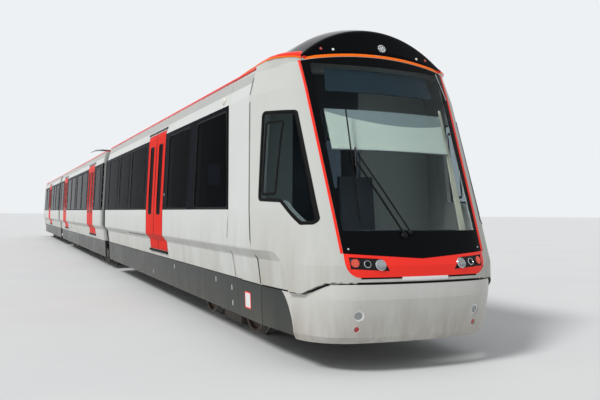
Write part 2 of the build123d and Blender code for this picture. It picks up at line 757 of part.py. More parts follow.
# Centre section
inner_end = centre_end - end_frame_length
centre = fuse([body_run(-inner_end, inner_end), end_ring(centre_end, 1), end_ring(-centre_end, -1)])
centre -= body_run(-centre_end + wall, centre_end - wall, wall, wall_bottom - 10, roof_thickness)
for side in (-1, 1):
    centre -= gangway_cut(side * centre_end)
centre = shell_cuts(centre, CENTRE_WINDOWS, CENTRE_DOORS)
write("body_b", [centre])
write("windows_b", saloon_panes(CENTRE_WINDOWS, CENTRE_DOORS))
write("doors_b", door_leaves(CENTRE_DOORS))
half_joints = [840.0, centre_bogie_x - 570, centre_bogie_x, centre_bogie_x + 570, centre_end]
write("skirts_b", skirt_panels([-x for x in reversed(half_joints)] + [0.0] + half_joints))
frame_end = centre_end - wall - seat_gap
centre_frame = underframe(-frame_end, frame_end, [-centre_bogie_x, centre_bogie_x],
                          [(-1200, -200, 420, 200), (200, 1200, 400, 190)], [-centre_jack_x, centre_jack_x])
for side in (-1, 1):
    far = side * pivot_x
    near = side * (centre_end - 400)
    root = side * (centre_end - 60)
    fork = [box_between((min(root, near), -60, knuckle_z - 55), (max(root, near), 60, under_seat)),
            Pos(far, 0, knuckle_z) * Cylinder(pin_r, 110)]
    for z0, z1 in ((knuckle_z - 55, knuckle_z - 25), (knuckle_z + 25, knuckle_z + 55)):
        fork.append(box_between((min(far, near), -45, z0), (max(far, near), 45, z1)))
        fork.append(Pos(far, 0, (z0 + z1) / 2) * Cylinder(knuckle_r, z1 - z0))
    centre_frame.append(fuse(fork))
write("underframe_b", centre_frame)
centre_rows = seat_bays(90.0, CENTRE_DOORS[0][0] - 87.5, 2) + [(centre_end - 169.5, -1)]
centre_rows += [(-x, -facing) for x, facing in centre_rows]
write("interior_b", seats(centre_rows) + poles(CENTRE_DOORS))
write("roof_gear_b", [roof_case(-centre_end + 269.5, -centre_end + 1469.5, 117),
                      roof_case(centre_end - 1469.5, centre_end - 269.5, 117),
                      roof_case(-centre_end + 1669.5, -centre_end + 2469.5, 105)])

# Bellows: pleats round the gangway
pleats = 9
for name, side in (("a", 1), ("c", -1)):
    x0 = centre_end + seat_gap
    length = 2 * half_gangway - 2 * seat_gap
    fold = length / pleats
    rings = [body_run(x0, x0 + length, 62.0, under - 5)]
    for i in range(pleats):
        rings.append(body_run(x0 + (i + 0.25) * fold, x0 + (i + 0.75) * fold, 38.0, under - 25))
    bellows = fuse(rings) - body_run(x0 - 5, x0 + length + 5, 80.0, under + 15, 60.0)
    write(f"bellows_{name}", [bellows], side < 0)

# Half of a wheelset: y along the axle, radius
wheel_back = 340.0
wheel_front = 405.0
hub_r = axle_r + 24.5
WHEEL = [(0, axle_r), (318, axle_r), (318, hub_r), (348, hub_r), (362, tread_r - 30),
         (wheel_back, tread_r - 20), (wheel_back, flange_r - 7.5), (344, flange_r), (350, flange_r),
         (358, tread_r + 2), (wheel_front, tread_r - 2), (wheel_front, tread_r - 22), (385, tread_r - 30),
         (378, hub_r), (410, hub_r - 4), (410, 0), (0, 0)]


def wheelset(x):
    profile = make_face(Polyline(*[(r, y) for y, r in WHEEL], close=True).edges())
    half = revolve(profile, Axis.Y)
    disc = Rot(90, 0, 0) * (Cylinder(tread_r - 60, 26) - Cylinder(axle_r - 1, 30))
    return Pos(x, 0, axle_z) * fuse([half, mirror(half, about=Plane.XZ), Pos(0, 130, 0) * disc])


# Air spring between bogie and body: height over its seat, radius
spring_seat = axle_z + 68.5
spring_high = bogie_top - spring_seat
AIR_SPRING = [(0, 58), (26, 58), (30, 75), (spring_high - 12, 75), (spring_high - 8, 66), (spring_high, 66)]
frame_low = axle_z + 21.5
frame_high = axle_z + 96.5


def air_spring(y):
    outline = [(r, z) for z, r in AIR_SPRING] + [(0, AIR_SPRING[-1][0]), (0, 0)]
    face = make_face(Polyline(*[(r, 0, z) for r, z in outline], close=True).edges())
    belly = [v for v in face.vertices() if abs(v.X - 75) < 0.01]
    return Pos(0, y, spring_seat) * revolve(fillet(belly, 12.0), Axis.Z)


def bogie(x, powered):
    """Inside frame between the wheels, with axle boxes, transom, springs and track brakes."""
    parts = []
    half = wheelbase / 2
    for side in (-1, 1):
        y0, y1 = side * beam_y - 30, side * beam_y + 30
        ahead_half = [(110, frame_high - 25), (150, frame_high), (half + 60, frame_high),
                      (half + 60, frame_low), (half - 90, frame_low), (half - 150, frame_low - 30)]
        beam = side_prism(ahead_half + [(-x, z) for x, z in reversed(ahead_half)], y0, y1)
        parts += [beam, air_spring(side * beam_y)]
        parts.append(box_between((-190, side * 376 - 16, rail_z + 6.5), (190, side * 376 + 16, rail_z + 61.5)))
        for end in (-1, 1):
            parts.append(box_between((end * half - 55, y0 + 2, axle_z - 55),
                                     (end * half + 55, y1 - 2, frame_low + 5)))
            parts.append(box_between((end * 120 - 12, min(side * 240, side * 380), rail_z + 46.5),
                                     (end * 120 + 12, max(side * 240, side * 380), rail_z + 66.5)))
            parts.append(box_between((end * 120 - 12, side * beam_y - 14, rail_z + 46.5),
                                     (end * 120 + 12, side * beam_y + 14, frame_low)))
    parts.append(box_between((-110, -beam_y, frame_low - 25), (110, beam_y, spring_seat)))
    parts.append(Pos(0, 0, bogie_top - 65) * Cylinder(90, 130))
    if powered:
        for end in (-1, 1):
            parts.append(Pos(end * 200, 0, axle_z + 31.5) * Rot(90, 0, 0) * Cylinder(95, 380))
    frame = fuse(parts) - Pos(0, 0, bogie_top - 23) * Cylinder(pin_r + running_gap, 120)
    for end in (-1, 1):
        frame -= Pos(end * half, 0, axle_z) * Rot(90, 0, 0) * Cylinder(axle_r + running_gap, 700)
    return Pos(x, 0, 0) * frame


BOGIES = [("a", end_bogie_x, True), ("b1", centre_bogie_x, False), ("b2", -centre_bogie_x, False),
          ("c", -end_bogie_x, True)]
for name, x, powered in BOGIES:
    write(f"bogie_{name}", [bogie(x, powered)])
    for number, end in ((1, 1), (2, -1)):
        write(f"wheelset_{name}_{number}", [wheelset(x + end * wheelbase / 2)])

# Pantograph: base frame, lower arm, upper arm and collector head, stored folded
knee_x = panto_pivot_x - math.sqrt(panto_arm ** 2 - panto_rise ** 2)
knee_z = panto_pivot_z + panto_rise
head_x = panto_pivot_x
head_z = knee_z + panto_rise
rail_low = roof_crown + 67.0
rail_high = roof_crown + 92.0
rail_y = 200.0
foot_back = panto_pivot_x - 350.0
foot_front = panto_pivot_x + 120.0


def rod_y(x, y, z, r, length):
    return Pos(x, y, z) * Rot(90, 0, 0) * Cylinder(r, length)


def tube(start, end, r):
    line = Vector(*end) - Vector(*start)
    return Plane(origin=start, z_dir=line) * Pos(0, 0, line.length / 2) * Cylinder(r, line.length)


thrust_x = panto_pivot_x - thrust_back
thrust_z = panto_pivot_z - thrust_drop
cross_low = roof_crown + 6.0
cross_high = roof_crown + 30.0
base = [rod_y(panto_pivot_x, 0, panto_pivot_z, panto_pin_r, 300)]
for x in (foot_back, foot_front):
    base.append(box_between((x - 15, -rail_y, cross_low), (x + 15, rail_y, cross_high)))
    for side in (-1, 1):
        base.append(Pos(x, side * rail_y, (roof_crown - 15 + rail_low + 10) / 2)
                    * Cylinder(22, rail_low + 10 - (roof_crown - 15)))
for side in (-1, 1):
    y = side * rail_y
    cheek = side * 140
    ledge = sorted((side * 130, y))
    base.append(box_between((foot_back - 40, y - 15, rail_low), (foot_front + 40, y + 15, rail_high)))
    base.append(box_between((panto_pivot_x - 14, cheek - 10, rail_low + 5),
                            (panto_pivot_x + 14, cheek + 10, panto_pivot_z)))
    base.append(box_between((panto_pivot_x - 14, ledge[0], rail_low + 2),
                            (foot_front + 15, ledge[1], rail_low + 20)))
base.append(box_between((foot_back, thrust_y - 16, cross_low), (foot_front, thrust_y + 16, cross_low + 14)))
base.append(rod_y(thrust_x, thrust_y, thrust_z, thrust_pin_r, 32))
for side in (-1, 1):
    y = thrust_y + side * (thrust_half + 5)
    base.append(box_between((thrust_x - 12, y - 3, cross_low + 10), (thrust_x + 12, y + 3, thrust_z)))
    base.append(rod_y(thrust_x, y, thrust_z, 12, 6))
base = fuse(base) - body_run(-centre_end, centre_end, 0.0, wall_bottom, -seat_gap)
write("panto_base", [base])

pivot_bore = rod_y(panto_pivot_x, 0, panto_pivot_z, panto_pin_r + running_gap, 200)
lower = fuse([tube((panto_pivot_x - 15, 0, panto_pivot_z), (knee_x, 0, knee_z), 18),
              rod_y(knee_x, 0, knee_z, 14, 90),
              rod_y(panto_pivot_x, 0, panto_pivot_z, 22, 180)])
write("panto_lower", [lower - pivot_bore - rod_y(knee_x, 0, knee_z, knee_pin_r + running_gap, 200)])

# The thrust rod ends in an eye beside the lug of the upper arm
lug_x = knee_x - lug_length * math.cos(math.radians(lug_angle))
lug_z = knee_z - lug_length * math.sin(math.radians(lug_angle))
lug_y = thrust_y + thrust_half + 8.0
rod = [tube((thrust_x, thrust_y, thrust_z), (lug_x, thrust_y, lug_z), thrust_half - 1)]
rod += [rod_y(x, thrust_y, z, 11, 2 * thrust_half) for x, z in ((thrust_x, thrust_z), (lug_x, lug_z))]
rod = fuse(rod) - rod_y(thrust_x, thrust_y, thrust_z, thrust_pin_r + running_gap, 40)
write("panto_rod", [rod - rod_y(lug_x, thrust_y, lug_z, thrust_pin_r, 40)])

lug_bar = [(knee_x, knee_z + 8), (lug_x, lug_z + 8), (lug_x, lug_z - 8), (knee_x, knee_z - 8)]
lug = [side_prism(lug_bar, lug_y - 3.5, lug_y + 3.5), rod_y(knee_x, lug_y, knee_z, 14, 7),
       rod_y(lug_x, lug_y, lug_z, 11, 7)]
upper = lug + [rod_y(knee_x, 0, knee_z, knee_pin_r, 150), rod_y(head_x - 20, 0, head_z, 7, 320)]
upper.append(rod_y(head_x, 0, head_z, 7, 420))
for side in (-1, 1):
    upper.append(rod_y(knee_x, side * 66, knee_z, 16, 26))
    upper.append(tube((knee_x, side * 66, knee_z), (head_x - 20, side * 150, head_z), 9))
    upper.append(box_between((head_x - 24, side * 150 - 10, head_z - 6),
                             (head_x, side * 150 + 10, head_z + 6)))
write("panto_upper", [fuse(upper)])

# Collector head: bow carriers and two strips with down-turned horns
BOW = [(-96, 18), (-64, 18), (-40, -8), (40, -8), (64, 18), (96, 18), (96, 31), (58, 31), (34, 8), (-34, 8),
       (-58, 31), (-96, 31)]
# Half of a strip from its middle: y, upper z, lower z
STRIP = [(0, 6, -6), (320, 6, -6), (398, -4, -16), (470, -40, -48)]
head = []
for side in (-1, 1):
    carrier = side_prism(BOW, side * 195 - 12, side * 195 + 12)
    head += [Pos(head_x, 0, head_z) * carrier, rod_y(head_x, side * 195, head_z, 15, 24)]
top_line = [(0, -y, z) for y, z, _ in reversed(STRIP)] + [(0, y, z) for y, z, _ in STRIP[1:]]
low_line = [(0, y, z) for y, _, z in reversed(STRIP)] + [(0, -y, z) for y, _, z in STRIP[1:]]
strip = extrude(make_face(Polyline(*top_line, *low_line, close=True).edges()), amount=32, dir=(1, 0, 0))
for end in (-1, 1):
    head.append(Pos(head_x + end * 80 - 16, 0, head_z + 36) * strip)
write("panto_head", [fuse(head) - rod_y(head_x, 0, head_z, 7 + running_gap, 500)])
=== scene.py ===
# %% [markdown]
# This lesson dresses a half-scale articulated tram-train. The engineering model arrives
# as a fixed frame: every solid sits where the real piece sits, in metres, with +X towards
# the end that the camera faces, +Y to its left and +Z up. We never move those solids. We
# give them finishes, and we add the small things that make a vehicle look real: rubber
# seals, lamps, wipers, pleats, insulators, pipes and bolts.

# %% Load the frame
import bpy
import bmesh
import math
from mathutils import Vector, Matrix
from mathutils.bvhtree import BVHTree


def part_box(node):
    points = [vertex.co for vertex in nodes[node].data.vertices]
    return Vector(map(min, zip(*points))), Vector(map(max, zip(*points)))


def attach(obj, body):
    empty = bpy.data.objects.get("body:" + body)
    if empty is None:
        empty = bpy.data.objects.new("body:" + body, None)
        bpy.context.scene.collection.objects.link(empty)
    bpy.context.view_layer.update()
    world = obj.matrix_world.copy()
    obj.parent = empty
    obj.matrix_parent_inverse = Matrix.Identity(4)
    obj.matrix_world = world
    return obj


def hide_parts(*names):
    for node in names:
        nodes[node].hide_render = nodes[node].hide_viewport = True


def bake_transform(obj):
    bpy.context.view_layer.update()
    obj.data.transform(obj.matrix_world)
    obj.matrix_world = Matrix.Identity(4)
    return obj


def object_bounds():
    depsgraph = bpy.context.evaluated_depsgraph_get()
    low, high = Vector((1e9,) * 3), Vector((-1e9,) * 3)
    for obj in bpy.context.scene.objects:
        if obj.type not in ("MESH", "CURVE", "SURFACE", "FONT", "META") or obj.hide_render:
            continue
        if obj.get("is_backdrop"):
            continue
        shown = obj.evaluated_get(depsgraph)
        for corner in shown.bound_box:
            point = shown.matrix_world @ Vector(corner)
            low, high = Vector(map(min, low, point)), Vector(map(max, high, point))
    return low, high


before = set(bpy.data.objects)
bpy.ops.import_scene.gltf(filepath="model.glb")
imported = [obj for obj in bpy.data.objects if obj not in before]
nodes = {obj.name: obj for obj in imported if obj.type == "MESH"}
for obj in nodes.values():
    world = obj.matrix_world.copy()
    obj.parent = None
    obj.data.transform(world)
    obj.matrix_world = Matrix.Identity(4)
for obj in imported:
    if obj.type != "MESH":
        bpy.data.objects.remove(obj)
cad_low, cad_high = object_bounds()
scene = bpy.context.scene
scene.view_settings.view_transform = "Standard"
print("nodes", len(nodes), "length", round(cad_high.x - cad_low.x, 3))

# %% [markdown]
# The camera stands where the photo was taken: low, in front of the right-hand corner,
# looking back along the side. Three angles turn it, and a few lines build its axes.

# %% Camera
CAMERA_PLACE = Vector((12.7942, -1.9221, 0.7863))
CAMERA_YAW, CAMERA_PITCH, CAMERA_ROLL = (math.radians(a) for a in (24.132, 1.0898, 0.4265))
CAMERA_LENS = 40.285
SENSOR_WIDTH = 36.0

forward = Vector((-math.cos(CAMERA_YAW) * math.cos(CAMERA_PITCH),
                  math.sin(CAMERA_YAW) * math.cos(CAMERA_PITCH), math.sin(CAMERA_PITCH)))
level_right = forward.cross(Vector((0, 0, 1))).normalized()
level_up = level_right.cross(forward)
camera_right = math.cos(CAMERA_ROLL) * level_right + math.sin(CAMERA_ROLL) * level_up
camera_up = -math.sin(CAMERA_ROLL) * level_right + math.cos(CAMERA_ROLL) * level_up
camera = bpy.data.objects.new("camera", bpy.data.cameras.new("camera"))
scene.collection.objects.link(camera)
axes = Matrix((camera_right, camera_up, -forward)).transposed().to_4x4()
camera.matrix_world = Matrix.Translation(CAMERA_PLACE) @ axes
camera.data.lens = CAMERA_LENS
camera.data.sensor_width = SENSOR_WIDTH
camera.data.clip_end = 200.0
scene.camera = camera
print("camera height above the floor", round(CAMERA_PLACE.z, 3))

# %% [markdown]
# Colours are written as the sRGB hex values that a paint chart would give. Blender works
# in linear light, so one function converts them. A second one adds a shader node with its
# settings and links, where a node given as an input stands for its first output. Two more
# work as a paint shop does: one makes a mask from straight tests, one lays coats over a
# colour through masks.

# %% Colour and node helpers
MATH, MIX, NOISE, RANGE = "ShaderNodeMath", "ShaderNodeMix", "ShaderNodeTexNoise", "ShaderNodeMapRange"
BUMP, WAVE, SPLIT, SPOT = "ShaderNodeBump", "ShaderNodeTexWave", "ShaderNodeSeparateXYZ", "ShaderNodeTexCoord"


def linear(hex_colour):
    """sRGB hex, such as #d8d8d6, to a linear colour with alpha 1."""
    parts = [int(hex_colour[i:i + 2], 16) / 255 for i in (1, 3, 5)]
    return tuple(c / 12.92 if c <= 0.04045 else ((c + 0.055) / 1.055) ** 2.4 for c in parts) + (1.0,)


def wire(node, inputs):
    """Set sockets, by name or number, to a value, a hex colour, a socket or a node."""
    for key, value in inputs.items():
        if isinstance(value, str):
            value = linear(value)
        if isinstance(value, bpy.types.Node):
            value = next(socket for socket in value.outputs if socket.enabled)
        if isinstance(value, bpy.types.NodeSocket):
            node.id_data.links.new(value, node.inputs[key])
        else:
            node.inputs[key].default_value = value


def add(tree, kind, inputs=None, **settings):
    """Add a node with its settings and inputs."""
    node = tree.nodes.new(kind)
    for name, value in settings.items():
        setattr(node, name, value)
    wire(node, inputs or {})
    return node


def new_finish(name, **sockets):
    """A material with one principled shader, whose plain values go on its own sockets."""
    material = bpy.data.materials.new(name)
    material.use_nodes = True
    shader = material.node_tree.nodes["Principled BSDF"]
    wire(shader, {key.replace("_", " "): value for key, value in sockets.items()})
    return material, material.node_tree, shader


def place_of(tree):
    """The surface point, whole and as x, y and z, in the frame's metres."""
    spot = add(tree, SPOT).outputs["Object"]
    return spot, *add(tree, SPLIT, {0: spot}).outputs


def from_middle(tree):
    """How far a point is from the vehicle's middle, along it and to either side."""
    _, x, y, _ = place_of(tree)
    return [add(tree, MATH, {0: value}, operation="ABSOLUTE") for value in (x, y)]


def where(tree, *tests):
    """Mask that is 1 where all tests hold: a test is another mask, or a value, a sign and a limit."""
    mask = None
    for test in tests:
        if isinstance(test, tuple):
            side = "GREATER_THAN" if test[1] == ">" else "LESS_THAN"
            test = add(tree, MATH, {0: test[0], 1: test[2]}, operation=side)
        mask = test if mask is None else add(tree, MATH, {0: mask, 1: test}, operation="MULTIPLY")
    return mask


def layered(tree, colour, *coats):
    """Lay coats over a colour: each is a mask and a colour."""
    for mask, coat in coats:
        colour = add(tree, MIX, {"Factor": mask, "A": colour, "B": coat}, data_type="RGBA")
    return colour


print("half grey in linear light", round(linear("#808080")[0], 3))

# %% [markdown]
# The stage is a pale floor under a pale sky. The world is white to the camera and in
# reflections, and dimmer as a lamp, so that light paint keeps its tone. A wide sun from the
# vehicle's right gives the soft shadow of a bright, hazy day.

# %% Stage and light
SKY_LIGHT_STRENGTH = 0.52
SUN_STRENGTH = 2.2
SUN_SIZE = math.radians(14)
SUN_FROM = Vector((0.26, -0.80, 0.86))
FLOOR_HALF = 200.0

world = bpy.data.worlds.new("studio_sky")
scene.world = world
world.use_nodes = True
tree = world.node_tree
rays = add(tree, "ShaderNodeLightPath").outputs
seen = add(tree, MATH, {0: rays["Is Camera Ray"], 1: rays["Is Glossy Ray"]}, operation="MAXIMUM")
seen = add(tree, MATH, {0: seen, 1: rays["Is Transmission Ray"]}, operation="MAXIMUM")
strength = add(tree, RANGE, {"Value": seen, "To Min": SKY_LIGHT_STRENGTH, "To Max": 1.0})
wire(tree.nodes["Background"], {"Color": "#eef1f4", "Strength": strength})

sun = bpy.data.objects.new("sun", bpy.data.lights.new("sun", "SUN"))
sun.data.energy = SUN_STRENGTH
sun.data.angle = SUN_SIZE
sun.rotation_euler = SUN_FROM.to_track_quat("Z", "Y").to_euler()
scene.collection.objects.link(sun)

floor_mesh = bpy.data.meshes.new("floor")
h = FLOOR_HALF
floor_mesh.from_pydata([(-h, -h, 0), (h, -h, 0), (h, h, 0), (-h, h, 0)], [], [(0, 1, 2, 3)])
floor = bpy.data.objects.new("floor", floor_mesh)
scene.collection.objects.link(floor)
concrete, tree, shader = new_finish("floated_concrete", Roughness=0.8)
mottle = add(tree, NOISE, {"Vector": add(tree, SPOT).outputs["Object"], "Scale": 0.8, "Detail": 4.0})
wire(shader, {"Base Color": layered(tree, "#d9dadb", (mottle, "#e4e4e2"))})
floor.data.materials.append(concrete)
floor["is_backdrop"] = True
print("stage ready")

# %% [markdown]
# Most of the vehicle is sprayed paint over metal, and all of it stands outdoors. So one
# function weathers a coat: the tone drifts a little from panel to panel, road dust thickens
# towards the ground in soft upright streaks, the gloss varies with the dirt, and a fine
# orange peel of about 3 mm breaks up the reflections, as it does on any sprayed side.

# %% Weathering
DUST_COLOUR = "#8d8171"
DUST_DEPTH = 0.42
PEEL_SIZE = 0.003


def weathered(shader, colour, dust=0.25, dust_top=0.75, rough=(0.16, 0.3), peel=0.00004):
    """Wire a coat's colour, gloss and orange peel, with dust below dust_top."""
    tree = shader.id_data
    spot, _, _, height = place_of(tree)
    patches = add(tree, NOISE, {"Vector": spot, "Scale": 1.7, "Detail": 5.0, "Roughness": 0.6})
    tone = add(tree, RANGE, {"Value": patches, "From Min": 0.3, "From Max": 0.7, "To Min": 0.95})
    colour = add(tree, MIX, {"Factor": 1.0, "A": colour, "B": tone}, data_type="RGBA", blend_type="MULTIPLY")
    upright = add(tree, "ShaderNodeMapping", {"Vector": spot, "Scale": (9.0, 9.0, 1.2)})
    streaks = add(tree, NOISE, {"Vector": upright, "Scale": 1.0, "Detail": 6.0, "Roughness": 0.65})
    streaks = add(tree, RANGE, {"Value": streaks, "From Min": 0.35, "From Max": 0.75, "To Min": 0.25})
    dust_low = dust_top - DUST_DEPTH
    low = add(tree, RANGE, {"Value": height, "From Min": dust_top, "From Max": dust_low, "To Max": dust})
    dirt = add(tree, MATH, {0: low, 1: streaks}, operation="MULTIPLY")
    gloss = add(tree, MATH, {0: patches, 1: dirt}, operation="ADD")
    gloss = add(tree, RANGE, {"Value": gloss, "From Min": 0.3, "From Max": 0.9,
                              "To Min": rough[0], "To Max": rough[1]})
    grain = add(tree, NOISE, {"Vector": spot, "Scale": 1.0 / PEEL_SIZE, "Detail": 2.0})
    wire(shader, {"Base Color": layered(tree, colour, (dirt, DUST_COLOUR)), "Roughness": gloss,
                  "Normal": add(tree, BUMP, {"Height": grain, "Distance": peel, "Strength": 1.0})})


def dress(finish, *names):
    for name in names:
        nodes[name].data.materials.clear()
        nodes[name].data.materials.append(finish)


def coat(title, names, colour, sockets, **weather):
    """One plain weathered coat on whole nodes."""
    finish, tree, shader = new_finish(title, **sockets)
    weathered(shader, colour, **weather)
    dress(finish, *names)
    return finish


print("orange peel", round(1 / PEEL_SIZE), "grains to a metre")

# %% [markdown]
# The body's sizes come first. The side is a stack of flats: the lower wall leans out to the
# swage, the wall is upright to the sill, and from there it leans in to the shoulder of the
# roof. A short table gives the half width at each height, and everything that is stuck to
# the side finds its place from it.

# %% Body sizes
BODY_HALF = cad_high.y
SILL_Z, CANT_Z, SHOULDER_Z = 0.805, 1.4475, 1.6135
SWAGE_LOW, SWAGE_HIGH, WALL_BOTTOM = 0.533, 0.585, 0.3885
ROOF_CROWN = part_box("body_b")[1].z
SKIN = [(WALL_BOTTOM, 0.603), (SWAGE_LOW, 0.620), (SWAGE_HIGH, BODY_HALF), (SILL_Z, BODY_HALF),
        (CANT_Z, 0.635), (SHOULDER_Z, 0.590)]
WALL = 0.035
B_START, B_END = (corner.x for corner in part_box("body_b"))
END_START, CAB_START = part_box("body_a")[0].x, 9.325
SECTIONS = (("a", "section_a"), ("b", "centre_section"), ("c", "section_c"))
SIDES = (-1, 1)
X, Y, Z = Vector((1, 0, 0)), Vector((0, 1, 0)), Vector((0, 0, 1))


def between(table, z):
    """Value at a height, on the straight lines between the rows of a table."""
    for (z0, v0), (z1, v1) in zip(table, table[1:]):
        if z <= z1:
            return v0 + (v1 - v0) * (z - z0) / (z1 - z0)
    return table[-1][1]


def span(name, inset, far_end):
    """Ends of a long piece on a section; on an end section it runs to far_end."""
    if name == "b":
        return B_START + inset, B_END - inset
    return (END_START + inset, far_end) if name == "a" else (-far_end, -END_START - inset)


print("half width", round(BODY_HALF, 4), "roof crown", round(ROOF_CROWN, 4))

# %% [markdown]
# The body paint is one material, because the real livery is masked and sprayed over the
# joined panels. It is two-pack polyurethane lacquer. The real side mirrors dark things at
# these flat angles, and a pale studio would fill that gloss with white, so the
# specular level is far under the usual 0.5, which keeps the paint's own colours. Masks
# made of plain height and width tests give the dark window band, which stops at the panel
# joint before the cab, the red edge of the roof, and the pale lining on the inner faces.

# %% Saloon and cab lacquer
SIDE_GLOSS = 0.002
BAND, RED, LINING = "#0a0e16", "#e0301e", "#b9bab6"
# The saloon and the cab wear one white paint. The cab's white is set darker as painted shade, because the
# nose is less lit and mirrors less sky than the side.
WHITES_WITH_SHADED_CAB = {"saloon": "#d4d6d3", "cab": "#cacbc6"}
BAND_LOW, BAND_END, BAND_LEAN = SILL_Z - 0.002, CAB_START - 0.3975, 0.1422
RED_EDGE_Z, RED_EDGE_Y, RED_END = SHOULDER_Z - 0.0105, 0.53, CAB_START - 0.40
LEAN_IN = (BODY_HALF - 0.635) / (CANT_Z - SILL_Z)
ROOF_SAG = 0.1566
SKIN_MIDDLE, LINING_LOW = BODY_HALF - WALL / 2, SWAGE_HIGH + 0.02

for kind, names in (("saloon", ("body_a", "body_b", "body_c")), ("cab", ("cab_a", "cab_c"))):
    lacquer, tree, shader = new_finish(f"sprayed_{kind}_lacquer", Specular_IOR_Level=SIDE_GLOSS)
    _, x, y, z = place_of(tree)
    far, wide = from_middle(tree)
    over_sill = add(tree, MATH, {0: z, 1: SILL_Z}, operation="SUBTRACT")
    over_sill = add(tree, MATH, {0: over_sill, 1: 0.0}, operation="MAXIMUM")
    leaned = add(tree, MATH, {0: over_sill, 1: LEAN_IN, 2: wide}, operation="MULTIPLY_ADD")
    square = add(tree, MATH, {0: wide, 1: wide}, operation="MULTIPLY")
    roof_line = add(tree, MATH, {0: square, 1: ROOF_SAG, 2: z}, operation="MULTIPLY_ADD")
    lined = where(tree, (leaned, "<", SKIN_MIDDLE), (roof_line, "<", ROOF_CROWN - 0.02), (z, ">", LINING_LOW))
    coats = []
    if kind == "cab":
        normal_y = add(tree, SPLIT, {0: add(tree, SPOT).outputs["Normal"]}).outputs["Y"]
        outward = add(tree, MATH, {0: normal_y, 1: y}, operation="MULTIPLY")
        lined = where(tree, lined, (outward, "<", -0.05))
    else:
        red_edge = where(tree, (z, ">", RED_EDGE_Z), (wide, ">", RED_EDGE_Y), (far, "<", RED_END))
        reach = add(tree, MATH, {0: over_sill, 1: BAND_LEAN, 2: far}, operation="MULTIPLY_ADD")
        in_band = (leaned, ">", SKIN_MIDDLE), (z, ">", BAND_LOW), (z, "<", CANT_Z), (reach, "<", BAND_END)
        band = where(tree, *in_band)
        coats = [(red_edge, RED), (band, BAND)]
    weathered(shader, layered(tree, WHITES_WITH_SHADED_CAB[kind], *coats, (lined, LINING)), dust=0.5, dust_top=0.82)
    dress(lacquer, *names)
print("body lacquer sprayed")

# %% [markdown]
# The bumper is moulded glass-fibre, sprayed white. Under its crease it catches brake dust
# and grit, so its dust is the thickest on the vehicle. The hood over the windscreen is black
# lacquer polished to a mirror. The skirts are an anthracite lacquer that carries dust from
# the wheels beside it.

# %% Bumper, hood and skirts
coat("sprayed_bumper_lacquer", ("bumper_a", "bumper_c"), "#cfcfca", {"Specular_IOR_Level": 0.3},
     dust=1.3, dust_top=0.455, rough=(0.2, 0.42))
hood_finish = coat("polished_hood_lacquer", ("hood_a", "hood_c"), "#07080b", {"IOR": 1.12},
                   dust=0.0, dust_top=0.6, rough=(0.06, 0.14))
coat("sprayed_skirt_lacquer", ("skirts_a", "skirts_b", "skirts_c"), "#3c4140", {"Specular_IOR_Level": 0.03},
     dust=0.4, dust_top=0.42, rough=(0.16, 0.34))
print("bumper, hood and skirts sprayed")

# %% [markdown]
# Door leaves are aluminium frames with red lacquer. Their edges are rubber: the two leaves
# meet in a black finger guard, and another seal runs round the doorway. On flat leaves that
# rubber is flush, so it is drawn as a mask: half a guard's width either side of the middle
# of each doorway, and a narrow edge at its ends.

# %% Door lacquer
GUARD_HALF, EDGE_SEAL, LEAF_GAP = 0.0075, 0.005, 0.003
DOOR_HALF = 0.705 / 2
door_middle = {"a": sum(corner.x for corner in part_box("doors_a")) / 2,
               "b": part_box("doors_b")[1].x + LEAF_GAP - DOOR_HALF}
for name, names in (("a", ("doors_a", "doors_c")), ("b", ("doors_b",))):
    lacquer, tree, shader = new_finish(f"sprayed_door_lacquer_{name}", Specular_IOR_Level=SIDE_GLOSS)
    off = add(tree, MATH, {0: from_middle(tree)[0], 1: door_middle[name]}, operation="SUBTRACT")
    off = add(tree, MATH, {0: off}, operation="ABSOLUTE")
    guard = where(tree, (off, "<", GUARD_HALF))
    ends = where(tree, (off, ">", DOOR_HALF - LEAF_GAP - EDGE_SEAL))
    colour = layered(tree, "#e2281c", (guard, "#101010"), (ends, "#101010"))
    weathered(shader, colour, dust=0.18, dust_top=0.7)
    dress(lacquer, *names)
print("door middles", {key: round(value, 4) for key, value in door_middle.items()})

# %% [markdown]
# Side panes are toughened glass, tinted grey in the melt. Glass bends light and reflects a
# few percent of it, which the principled shader's transmission does. Only its shadow rays
# are let through by a transparent shader, so that daylight reaches the seats. The IOR is
# near 1, for the studio has none of the dark things that real panes mirror. The cab's side
# panes are paler, because the view out of a cab has to be clear.

# %% Side glass
TINT, CAB_TINT = "#424c56", "#aab4b8"


def glass_finish(name, tint, shadow_tint, **sockets):
    """Glass with a see-through shadow and the slow ripple of a rolled pane."""
    material, tree, shader = new_finish(name, Base_Color=tint, Transmission_Weight=1.0, **sockets)
    ripple = add(tree, NOISE, {"Vector": add(tree, SPOT).outputs["Object"], "Scale": 3.0, "Detail": 1.0})
    wire(shader, {"Normal": add(tree, BUMP, {"Height": ripple, "Distance": 0.002, "Strength": 0.5})})
    clear = add(tree, "ShaderNodeBsdfTransparent", {"Color": shadow_tint})
    ray = add(tree, "ShaderNodeLightPath").outputs["Is Shadow Ray"]
    mixed = add(tree, "ShaderNodeMixShader", {0: ray, 1: shader, 2: clear})
    wire(tree.nodes["Material Output"], {"Surface": mixed})
    return material, tree, shader


side_glass, _, _ = glass_finish("tinted_side_glass", TINT, "#a4aaae", Roughness=0.02, IOR=1.03)
dress(side_glass, "windows_b")
cab_glass, tree, shader = glass_finish("pale_cab_glass", CAB_TINT, "#d9dddf", Roughness=0.02, IOR=1.02)
in_cab = where(tree, (from_middle(tree)[0], ">", BAND_END))
wire(shader, {"Base Color": layered(tree, TINT, (in_cab, CAB_TINT))})
dress(cab_glass, "windows_a", "windows_c")
print("side panes glazed")

# %% [markdown]
# The windscreen is laminated glass with a black ceramic print fired on round its edge. The
# print hides the glue and the cab's pillars. Seen from the front, the clear part is a
# trapezoid: three straight tests mark it, and outside them the glass is opaque black.

